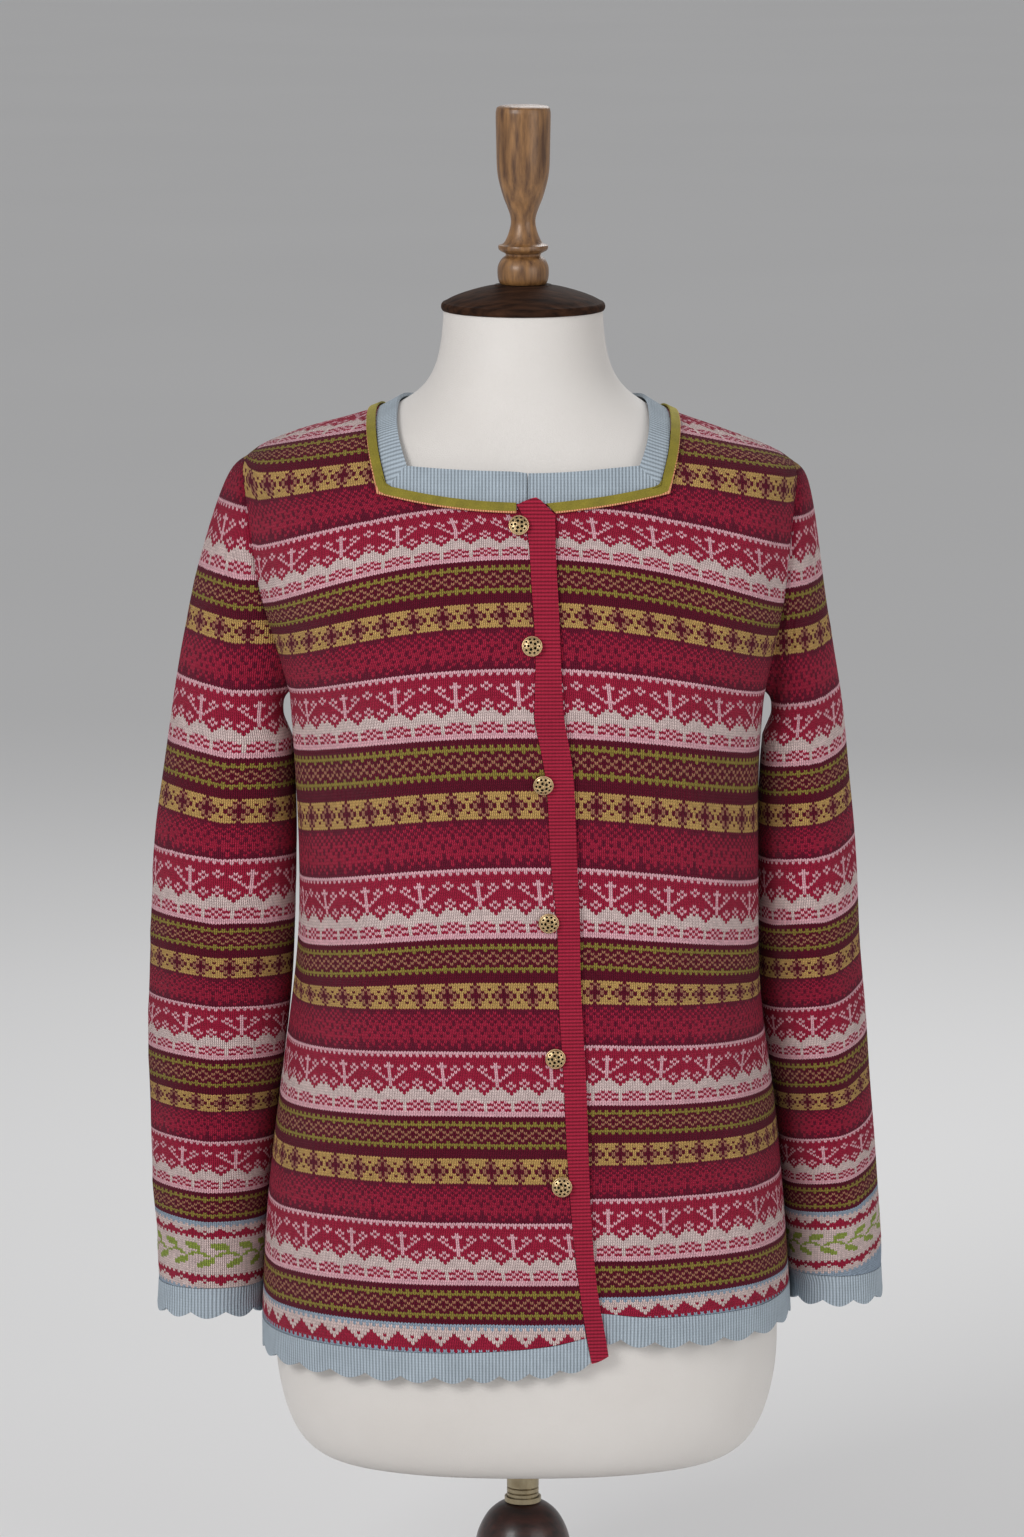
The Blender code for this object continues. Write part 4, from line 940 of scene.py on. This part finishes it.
border_knit = ribbed_material("blue ribbed wool", colour(172, 184, 194), 2.3, 1.9, 0.55)
band_knit = ribbed_material("crimson ribbed wool", colour(166, 37, 62), 2.4, 2.4, 0.75)

# %% [markdown]
# ## The panels and sleeves
#
# Each panel is the rounded copy of its solid, folded and given its pattern coordinates. It rides on the form
# and replaces its solid. The inner half of a sleeve is pressed against the body, as the weight of a hanging
# sleeve does, by as much at each height as there is room for.

# %% Panels and sleeves
# The press leaves 1 mm of room, moves the cloth by 15 mm at most, looks for room 16 mm up and down, reaches its
# full strength before the sleeve's inner side, and fades out in the last 50 mm under the armpit's height.
PRESS_CLEAR, PRESS_MOST, PRESS_REACH, PRESS_SPREAD = 0.0010, 0.0150, 0.016, 1.35
ARMPIT, PRESS_FADE = 0.74, 0.05
BACK_WIDTH = 0.36
cloth = {}


def dress(piece, node, material, slot, body="form"):
    """Give a finished piece its material and its place in the frame."""
    piece.data.materials.append(material)
    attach(piece, body)
    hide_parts(node)


def make_cloth(node, name, count, move, material, slot, levels=2):
    """A cloth piece: the rounded copy of a solid with its points counted as a pattern, then moved."""
    piece = rounded_copy(node, name, levels)
    points = read_points(piece)
    set_uv(piece, *count(points))
    write_points(piece, move(points))
    dress(piece, node, material, slot)
    cloth[node] = piece
    print(name, "area", round(wall_area(piece), 5), "faces", len(piece.data.polygons))


def count_panel(points, panel):
    lift = {"right": 0.0, "left": 1.0, "back": np.clip(points[:, 0] / BACK_WIDTH + 0.5, 0, 1)}[panel]
    return body_stitches(points, panel), body_rows(points, lift)


def press_sleeve(points, side):
    """Sleeve points with the inner half moved against the body, where they hang clear of it."""
    half, depth = (read(BODY_SIZES, points[:, 2], k) for k in (1 if side < 0 else 2, 3))
    body = half * (1 - np.clip(np.abs(points[:, 1]) / depth, 0, 0.99) ** OVAL_POWER) ** (1 / OVAL_POWER)
    gap = side * points[:, 0] - body
    levels = np.arange(0.25, 0.75, 0.02)
    room = [gap[np.abs(points[:, 2] - level) < PRESS_REACH].min(initial=PRESS_MOST) for level in levels]
    shift = np.clip(np.interp(points[:, 2], levels, room) - PRESS_CLEAR, 0, PRESS_MOST)
    middle, _, width, _ = sleeve_middle(points, side)
    inner = np.clip(PRESS_SPREAD * (middle - side * points[:, 0]) / width, 0, 1)
    high = np.clip((ARMPIT - points[:, 2]) / PRESS_FADE, 0, 1)
    return points - np.outer(shift * inner * (2 - inner) * high, (side, 0, 0))


for node, panel, levels in (("right_front", "right", 3), ("left_front", "left", 3), ("back", "back", 2)):
    make_cloth(node, "knit_" + node, lambda points: count_panel(points, panel), fold_body, body_knit, "knit", levels)

for node, side in (("right_sleeve", -1), ("left_sleeve", 1)):
    make_cloth(node, "knit_" + node, lambda points: (sleeve_stitches(points, side), sleeve_rows(points, side)),
               lambda points: press_sleeve(fold_sleeve(points, side), side), sleeve_knit, "knit")

# %% [markdown]
# ## Hem borders, cuffs, neck rib and front band
#
# These are rounded copies too. Their pattern coordinates are in millimetres along and across the piece. Round
# the neck the ribs stand square to each side of the neckline and meet at its corners, so every face is
# counted along the side that it belongs to. The band's top is drawn up to a point that lies on the neck rib.

# %% Borders
# The x of places along the band's top, and how far each is drawn up
TIP_RISE = ((-0.0045, 0.0098, 0.0156, 0.0213), (0.0, 0.0064, 0.0038, 0.0))
# Where the top starts to be drawn up and over what height, and the same for laying it on the neck rib
TIP_START, TIP_HEIGHT, TIP_LEAN = 0.832, 0.0115, 0.53
LAY_START, LAY_HEIGHT, LAY_DEPTH = 0.836, 0.008, 0.0022
CUFF_STITCH = 2.15
# How far each side of the neckline begins from the middle, and the width of the rib there
NECK_SIDE, NECK_FRONT, NECK_BACK = (0.0783, 0.0132), (0.0778, 0.0070), (0.0376, 0.0175)


def raise_tip(points):
    """Points of the band with its top drawn up to a point and laid on the neck rib."""
    x, y, z = points.T
    rise = np.interp(x, *TIP_RISE) * np.clip((z - TIP_START) / TIP_HEIGHT, 0, 1)
    laid = LAY_DEPTH * np.clip((z - LAY_START) / LAY_HEIGHT, 0, 1)
    return np.column_stack((x, y + rise * TIP_LEAN - laid, z + rise))


def neck_coordinates(piece):
    """Count the neck rib along its four sides, face by face."""
    layer = pattern_layer(piece)
    for face in piece.data.polygons:
        x, y, _ = face.center
        beside, before, behind = ((away - start) / width for away, (start, width) in (
            (abs(x), NECK_SIDE), (-y, NECK_FRONT), (y, NECK_BACK)))
        for loop in face.loop_indices:
            point = piece.data.vertices[piece.data.loops[loop].vertex_index].co
            along, over = (point.y, point.x) if beside > max(before, behind) else (point.x, point.z)
            layer.data[loop].uv = (along * 1000, over * 1000)


for node in ("right_front_hem", "left_front_hem", "back_hem"):
    make_cloth(node, "rib_" + node, lambda points: (way_along(points) * 1000, points[:, 2] * 1000), fold_body,
               border_knit, "border")

for node, side in (("right_cuff", -1), ("left_cuff", 1)):
    make_cloth(node, "rib_" + node,
               lambda points: (sleeve_stitches(points, side) * CUFF_STITCH, points[:, 2] * 1000),
               lambda points: press_sleeve(points, side), border_knit, "border")

piece = rounded_copy("neck_rib", "rib_neck", 2)
neck_coordinates(piece)
dress(piece, "neck_rib", border_knit, "border")
cloth["neck_rib"] = piece

make_cloth("front_band", "rib_front_band", lambda points: raise_tip(points)[:, [2, 0]].T * 1000,
           lambda points: fold_body(raise_tip(points)), band_knit, "band")

# %% [markdown]
# ## The velvet ribbon
#
# Velvet is dark where it is looked at squarely and light at a grazing angle, because its pile stands up. The
# sheen of the shader gives that. A slow noise presses the pile in places. The ribbon's outer edge carries a
# fine corded piping in peach, with painted light and shade in stripes along its twist. How far a point lies
# from the rib is measured once and kept as a coordinate.

# %% Velvet ribbon
# In millimetres: the piping's distance from the rib, the length of its twist, the half sizes of the neckline
PIPING_FROM, PIPING_TWIST = 6.9, 1.7
NECK_HALF_WIDTH, NECK_HALF_DEPTH = 86, 84
# In metres: the ribbon's end at the opening, and how far it is moved, up to the band
END_X, END_SHIFT = -0.0065, 0.0017

velvet, tree, shader = start_material("olive velvet", roughness=0.85, sheen=0.55)
pile = noise(tree, object_place(tree), 1400.0, 3.0)
pressed = noise(tree, object_place(tree), 90.0)
olive = shade_colour(tree, colour(134, 122, 34), (pile * 0.7 + 0.6) * (pressed * 0.7 + 0.6))
x, y, _ = split(tree, "XYZ", pattern_uv(tree))
# Painted light and shade: the cord is light on each strand of its twist and dark between the strands.
twist = sine(x * (2 * math.pi / PIPING_TWIST)) * 0.5 + 0.5
peach = mix_colours(tree, twist, colour(150, 84, 58), colour(236, 168, 122))
finish_material(tree, shader, mix_colours(tree, y > PIPING_FROM, olive, peach), pile, 0.0004)
shader.inputs["Sheen Tint"].default_value = colour(190, 180, 90)

piece = rounded_copy("neck_ribbon", "velvet_ribbon", 2)
points = read_points(piece)
end = (np.abs(points[:, 0] - END_X) < 0.0004) & (points[:, 1] < 0)
points[end, 0] += END_SHIFT
write_points(piece, points)
from_rib = BVHTree.FromPolygons(read_points(cloth["neck_rib"]).tolist(),
                                [tuple(face.vertices) for face in cloth["neck_rib"].data.polygons])
across = np.array([from_rib.find_nearest(Vector(point))[3] for point in points]) * 1000
x, y, _ = points.T * 1000
sideways = (np.abs(x) > NECK_HALF_WIDTH) & (np.abs(y) < NECK_HALF_DEPTH)
set_uv(piece, np.where(sideways, y, x), across)
dress(piece, "neck_ribbon", velvet, "ribbon")
cloth["neck_ribbon"] = piece
print("ribbon width", round(float(across.max()), 2), "mm")

# %% [markdown]
# ## The cloth pieces as sheets
#
# Each cloth piece is listed with the size of the rectangle it was cut or knitted in, its own area within that
# rectangle, and the pieces that it hangs from, and its flat area is printed beside the area measured on the model.
# The sizes are of what shows, once round a tube. The ribbon is cut 10 mm wide, and 2 mm of that are sewn in under the
# rib.

# %% Sheets
# Columns: solid, flat width and length, flat area, what it hangs from
SHEETS = [
    ("right_front", 0.300, 0.640, 0.1528, ["covered_form"]), ("left_front", 0.262, 0.630, 0.1325, ["covered_form"]),
    ("back", 0.480, 0.660, 0.2747, ["covered_form"]), ("right_sleeve", 0.260, 0.600, 0.1192, ["knit_right_front"]),
    ("left_sleeve", 0.240, 0.585, 0.1092, ["knit_left_front"]),
    ("right_front_hem", 0.290, 0.022, 0.0058, ["knit_right_front"]),
    ("left_front_hem", 0.230, 0.022, 0.0045, ["knit_left_front"]), ("back_hem", 0.480, 0.022, 0.0099, ["knit_back"]),
    ("right_cuff", 0.224, 0.0215, 0.0044, ["knit_right_sleeve"]),
    ("left_cuff", 0.220, 0.0215, 0.0043, ["knit_left_sleeve"]),
    ("neck_rib", 0.760, 0.0165, 0.0120, ["knit_right_front", "knit_left_front", "knit_back"]),
    ("neck_ribbon", 0.790, 0.010, 0.0059, ["knit_right_front", "knit_left_front", "knit_back"]),
    ("front_band", 0.595, 0.0165, 0.0095, ["knit_right_front", "knit_left_front"]),
]
for node, wide, long, area, held_by in SHEETS:
    print(node, "flat", area, "measured", round(wall_area(cloth[node]), 4))

# %% [markdown]
# ## Wood
#
# The form's finial is turned from brown wood, and its cap and the stand from darker wood. Grain is a stretched
# noise: long along the wood, fine across it. A group makes the grain's colour and its fine relief from a light
# and a dark tone.

# %% Wood group and materials
tree, given = start_group("Wood grain", Place="Vector", Light="Color", Dark="Color", Stretch="Vector")
stretched = stretch(tree, given["Place"], given["Stretch"])
figure = noise(tree, stretched, 1.0, 6.0)
pores = noise(tree, stretched, 7.0, 3.0)
clamp = tree.nodes.new("ShaderNodeClamp")
feed(tree, clamp.inputs[0], (figure - 0.5) * 2.6 + 0.5 + (pores * 0.5 - 0.25))
grain = mix_colours(tree, Field(tree, clamp.outputs[0]), given["Dark"], given["Light"])
end_group(tree, Color=grain, Height=pores)


def wood_material(name, light, dark, fineness, roughness, coat, gloss=0.5):
    made, tree, shader = start_material(name, roughness=roughness, coat=coat, gloss=gloss)
    grain = place_group(tree, "Wood grain", Place=object_place(tree), Light=light, Dark=dark, Stretch=fineness)
    finish_material(tree, shader, grain["Color"], grain["Height"], 0.00012)
    return made


finial_wood = wood_material("finial wood", colour(150, 108, 64), colour(82, 52, 28), (260, 260, 34), 0.42, 0.15)
cap_wood = wood_material("cap wood", colour(66, 42, 28), colour(24, 13, 9), (40, 240, 240), 0.75, 0.0, gloss=0.08)
stand_wood = wood_material("stand wood", colour(66, 30, 22), colour(24, 10, 8), (40, 200, 200), 0.38, 0.25)

# %% [markdown]
# ## Turning on a lathe
#
# A turned piece is a circle that is raised ring by ring and widened or narrowed at each step, as a lathe
# tool would leave it. The listed profile has only its main points. Points between them lie on a smooth
# curve, except where the profile is marked as a corner by a repeated point.

# %% Turned pieces
def smooth_profile(profile, steps=5):
    """Points on a smooth curve through the profile, with corners kept at repeated points."""
    profile = [np.array(point) * MM for point in profile]
    made = []
    for i in range(len(profile) - 1):
        a, b = profile[i], profile[i + 1]
        if np.allclose(a, b):
            continue
        before = profile[i - 1] if i else a
        after = profile[i + 2] if i + 2 < len(profile) else b
        for t in np.arange(steps) / steps:
            made.append(0.5 * (2 * a + (b - before) * t + (2 * before - 5 * a + 4 * b - after) * t * t
                               + (3 * a - before - 3 * b + after) * t ** 3))
    made.append(profile[-1])
    return [(max(float(radius), 0.0004), float(height)) for radius, height in made]


def turn_piece(name, profile, sides=96):
    """Raise a circle ring by ring to a turned solid, closed at both ends."""
    rings = smooth_profile(profile)
    bpy.ops.object.select_all(action="DESELECT")
    bpy.ops.mesh.primitive_circle_add(vertices=sides, radius=rings[0][0], fill_type="NGON",
                                      location=(0, 0, rings[0][1]))
    piece = bpy.context.object
    piece.name = name
    bpy.ops.object.transform_apply(location=True)
    bpy.ops.object.mode_set(mode="EDIT")
    bpy.ops.mesh.select_all(action="SELECT")
    for (old_radius, old_height), (radius, height) in zip(rings, rings[1:]):
        bpy.ops.mesh.extrude_region_move(TRANSFORM_OT_translate={"value": (0, 0, height - old_height)})
        ratio = radius / old_radius
        bpy.ops.transform.resize(value=(ratio, ratio, 1), center_override=(0, 0, height))
    bpy.ops.mesh.select_all(action="SELECT")
    bpy.ops.mesh.normals_make_consistent(inside=False)
    bpy.ops.object.mode_set(mode="OBJECT")
    smooth_by_angle(piece, 35)
    return piece


# Columns: radius, height, in mm
CAP = [(44, 965.1), (55.2, 965.1), (55.2, 965.1), (56, 966.8), (55.8, 969), (54.8, 970.4), (54.8, 970.4), (53, 971.2),
       (48, 973.8), (40, 976.8), (29, 980), (20, 981.8), (20, 981.8), (19.2, 982.4)]
FINIAL = [(15.5, 982.9), (16.8, 985), (17.5, 989.5), (17.2, 995), (15, 999.5), (11.8, 1002.2), (11.8, 1002.2),
          (12.2, 1003.6), (12.2, 1003.6), (16, 1005.6), (17, 1007.4), (16.8, 1009.2), (16.8, 1009.2), (13.8, 1010.2),
          (11.8, 1013), (9.8, 1018), (8.4, 1024), (8.8, 1029), (10.8, 1035), (13.2, 1041), (15.6, 1049), (17.2, 1056),
          (18, 1064), (18.4, 1080), (18.7, 1097), (18.4, 1100.8), (17.6, 1102.8), (15, 1103.8)]
HUB = [(28.5, 28.3), (31, 30.5), (30.8, 35), (30.8, 35), (26.8, 39.5), (25, 45), (25.6, 52), (29, 63), (32.2, 74),
       (33.6, 86), (33.2, 97), (30.5, 107), (25, 117), (18, 123.5), (12, 126.2)]
FOOT = [(147, 0), (149.6, 2), (150, 7), (149.8, 13), (147.5, 17.2), (142, 19.6), (142, 19.6), (138, 20), (120, 21.4),
        (90, 23.6), (56, 25.8), (56, 25.8), (52, 27.6), (45, 28)]

for name, node, profile, material, slot, body in (
        ("turned_cap", "neck_cap", CAP, cap_wood, "turned_wood", "form"),
        ("turned_finial", "finial", FINIAL, finial_wood, "turned_wood", "form"),
        ("turned_hub", "hub", HUB, stand_wood, "dark_wood", "stand"),
        ("turned_foot", "foot", FOOT, stand_wood, "dark_wood", "stand")):
    piece = turn_piece(name, profile)
    dress(piece, node, material, slot, body)
    print(name, "faces", len(piece.data.polygons))

# %% [markdown]
# ## The form's cover
#
# The form is covered with tight off-white jersey over a smooth shell. From this distance it is matt and even,
# with a faint weave, slightly warmer where hands have touched it.

# %% Form cover
cover, tree, shader = start_material("white jersey", roughness=0.62, sheen=0.12)
weave = noise(tree, object_place(tree), 1500.0)
touched = noise(tree, object_place(tree), 9.0, 3.0)
jersey = mix_colours(tree, touched, colour(226, 222, 218), colour(208, 202, 196))
finish_material(tree, shader, jersey, weave, 0.0002)

dress(rounded_copy("torso", "covered_form", 2, rim_degrees=70), "torso", cover, "form")
dress(rounded_copy("collar", "form_collar", 2), "collar", cover, "form")

# %% [markdown]
# ## Metal parts of the stand
#
# The tube, its ferrule and the rod keep their solids, because their shapes are right. They only get better
# materials: brushed metal with fine rings round it, from a noise that is stretched flat.

# %% Brushed metal
def brushed_metal(name, light, dark, roughness):
    made, tree, shader = start_material(name, roughness=roughness, metallic=1.0)
    rings = noise(tree, stretch(tree, object_place(tree), (60, 60, 4000)), 1.0)
    tarnish = noise(tree, object_place(tree), 120.0, 4.0)
    feed(tree, shader.inputs["Roughness"], rings * 0.20 + (roughness - 0.10))
    finish_material(tree, shader, mix_colours(tree, tarnish, dark, light), rings, 0.00005)
    return made


tube_metal = brushed_metal("brushed brass", colour(190, 178, 150), colour(120, 104, 76), 0.35)
steel_metal = brushed_metal("brushed steel", colour(200, 200, 200), colour(150, 150, 150), 0.30)
for node, material in (("tube", tube_metal), ("ferrule", tube_metal), ("set_screw", steel_metal), ("rod", steel_metal)):
    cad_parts[node].data.materials.clear()
    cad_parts[node].data.materials.append(material)

# %% [markdown]
# ## Openwork buttons
#
# The buttons are small openwork domes of pale gold metal. Ten holes stand in a ring, five larger ones round a
# knob, and each has a raised wire round it. Cutting holes in a dome this small would cost many faces, so a hole
# is a sunk disc inside its wire, painted dark as the shade inside the hole. One button is modelled from
# primitives and joined, then copied onto the place of each solid, with its own mesh.

# %% Button metal
def metal(name, dark, light, roughness):
    made, tree, shader = start_material(name, roughness=roughness, metallic=1.0)
    tarnish = noise(tree, object_place(tree), 700.0, 3.0)
    finish_material(tree, shader, mix_colours(tree, tarnish, dark, light), tarnish, 0.0001)
    return made


bright_metal = metal("pale filigree", colour(176, 146, 104), colour(240, 216, 170), 0.38)
# The discs in the holes are nearly black: painted shade inside each hole.
painted_hole_shade = metal("painted hole shade", colour(16, 10, 8), colour(34, 22, 16), 0.80)


# %% One button
DOME_FOOT = 0.0021
DOME_RADIUS = 0.0064
DOME_RISE = 0.42
WIRE = 0.00030
RIM_WIRE = 0.00050
SHANK_RADIUS = 0.0021


def on_dome(radius, angle):
    """A place on the button's dome, and how much the dome leans there."""
    level = math.sqrt(DOME_RADIUS ** 2 - radius ** 2)
    tilt = math.atan(DOME_RISE * radius / level)
    return (radius * math.cos(angle), radius * math.sin(angle), DOME_FOOT + DOME_RISE * level), (0, tilt, angle)


def finish_part(material):
    part = bpy.context.object
    part.data.materials.append(material)
    return part


def add_hole(radius, angle, size):
    """A hole in the dome with a raised wire round it: a disc painted dark as the hole's shade."""
    place, turn = on_dome(radius, angle)
    bpy.ops.mesh.primitive_torus_add(location=place, rotation=turn, major_radius=size, minor_radius=WIRE,
                                     major_segments=16, minor_segments=6)
    wire = finish_part(bright_metal)
    bpy.ops.mesh.primitive_cylinder_add(vertices=14, radius=size, depth=0.0005, location=place, rotation=turn)
    return [wire, finish_part(painted_hole_shade)]


def add_knob(radius, angle, size):
    place, _ = on_dome(radius, angle)
    bpy.ops.mesh.primitive_ico_sphere_add(subdivisions=2, radius=size, location=place)
    return [finish_part(bright_metal)]


def add_dome():
    """The dome, its rim and the shank under it."""
    bpy.ops.mesh.primitive_uv_sphere_add(segments=32, ring_count=12, radius=DOME_RADIUS, location=(0, 0, DOME_FOOT),
                                         scale=(1, 1, DOME_RISE))
    parts = [finish_part(bright_metal)]
    bpy.ops.mesh.primitive_torus_add(location=(0, 0, DOME_FOOT + 0.0001), major_radius=DOME_RADIUS,
                                     minor_radius=RIM_WIRE, major_segments=40, minor_segments=8)
    parts.append(finish_part(bright_metal))
    bpy.ops.mesh.primitive_cylinder_add(vertices=20, radius=SHANK_RADIUS, depth=0.0018, location=(0, 0, 0.0009))
    return parts + [finish_part(bright_metal)]


def model_button():
    parts = add_dome()
    for k in range(10):
        parts += add_hole(0.0047, 2 * math.pi * k / 10, 0.00102)
    for k in range(5):
        parts += add_hole(0.0024, 2 * math.pi * (k + 0.5) / 5, 0.00118)
        parts += add_knob(0.0034, 2 * math.pi * k / 5, 0.00060)
    parts += add_knob(0.0, 0.0, 0.00090)
    bpy.ops.object.select_all(action="DESELECT")
    for part in parts:
        part.select_set(True)
    bpy.context.view_layer.objects.active = parts[0]
    bpy.ops.object.join()
    bpy.ops.object.transform_apply(location=True, rotation=True, scale=True)
    smooth_by_angle(parts[0], 60)
    return parts[0]


# %% Six buttons
model = model_button()
for number in range(1, 7):
    node = f"button_{number}"
    solid = read_points(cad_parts[node])
    centre = solid.mean(axis=0)
    facing = np.linalg.svd(solid - centre)[2][2]
    facing = facing * -np.sign(facing[1])
    base = centre + facing * ((solid - centre) @ facing).min()
    piece = bpy.data.objects.new(f"filigree_{number}", model.data.copy())
    bpy.context.scene.collection.objects.link(piece)
    turn = Vector(facing).to_track_quat("Z", "Y").to_matrix().to_4x4()
    turn.translation = Vector(base)
    piece.data.transform(turn)
    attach(piece, "form")
    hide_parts(node)
bpy.data.objects.remove(model, do_unlink=True)
print("triangles in a button:", sum(len(face.vertices) - 2 for face in piece.data.polygons))

# %% [markdown]
# ## The floor's finish
#
# The floor is a plain pale studio floor with a mottle too faint to notice. At the end the box round the
# finished model is written beside the box round the solids.

# %% Floor
floor_paint, tree, shader = start_material("studio floor", roughness=0.9)
mottle = noise(tree, object_place(tree), 0.8)
feed(tree, shader.inputs["Base Color"], mix_colours(tree, mottle, (0.80, 0.80, 0.80, 1), (0.84, 0.84, 0.84, 1)))
floor.data.materials.append(floor_paint)

# %% Sizes and finish
def plain(box):
    return [[float(value) for value in corner] for corner in box]


{"cad": plain(cad_box), "model": plain(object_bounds())}
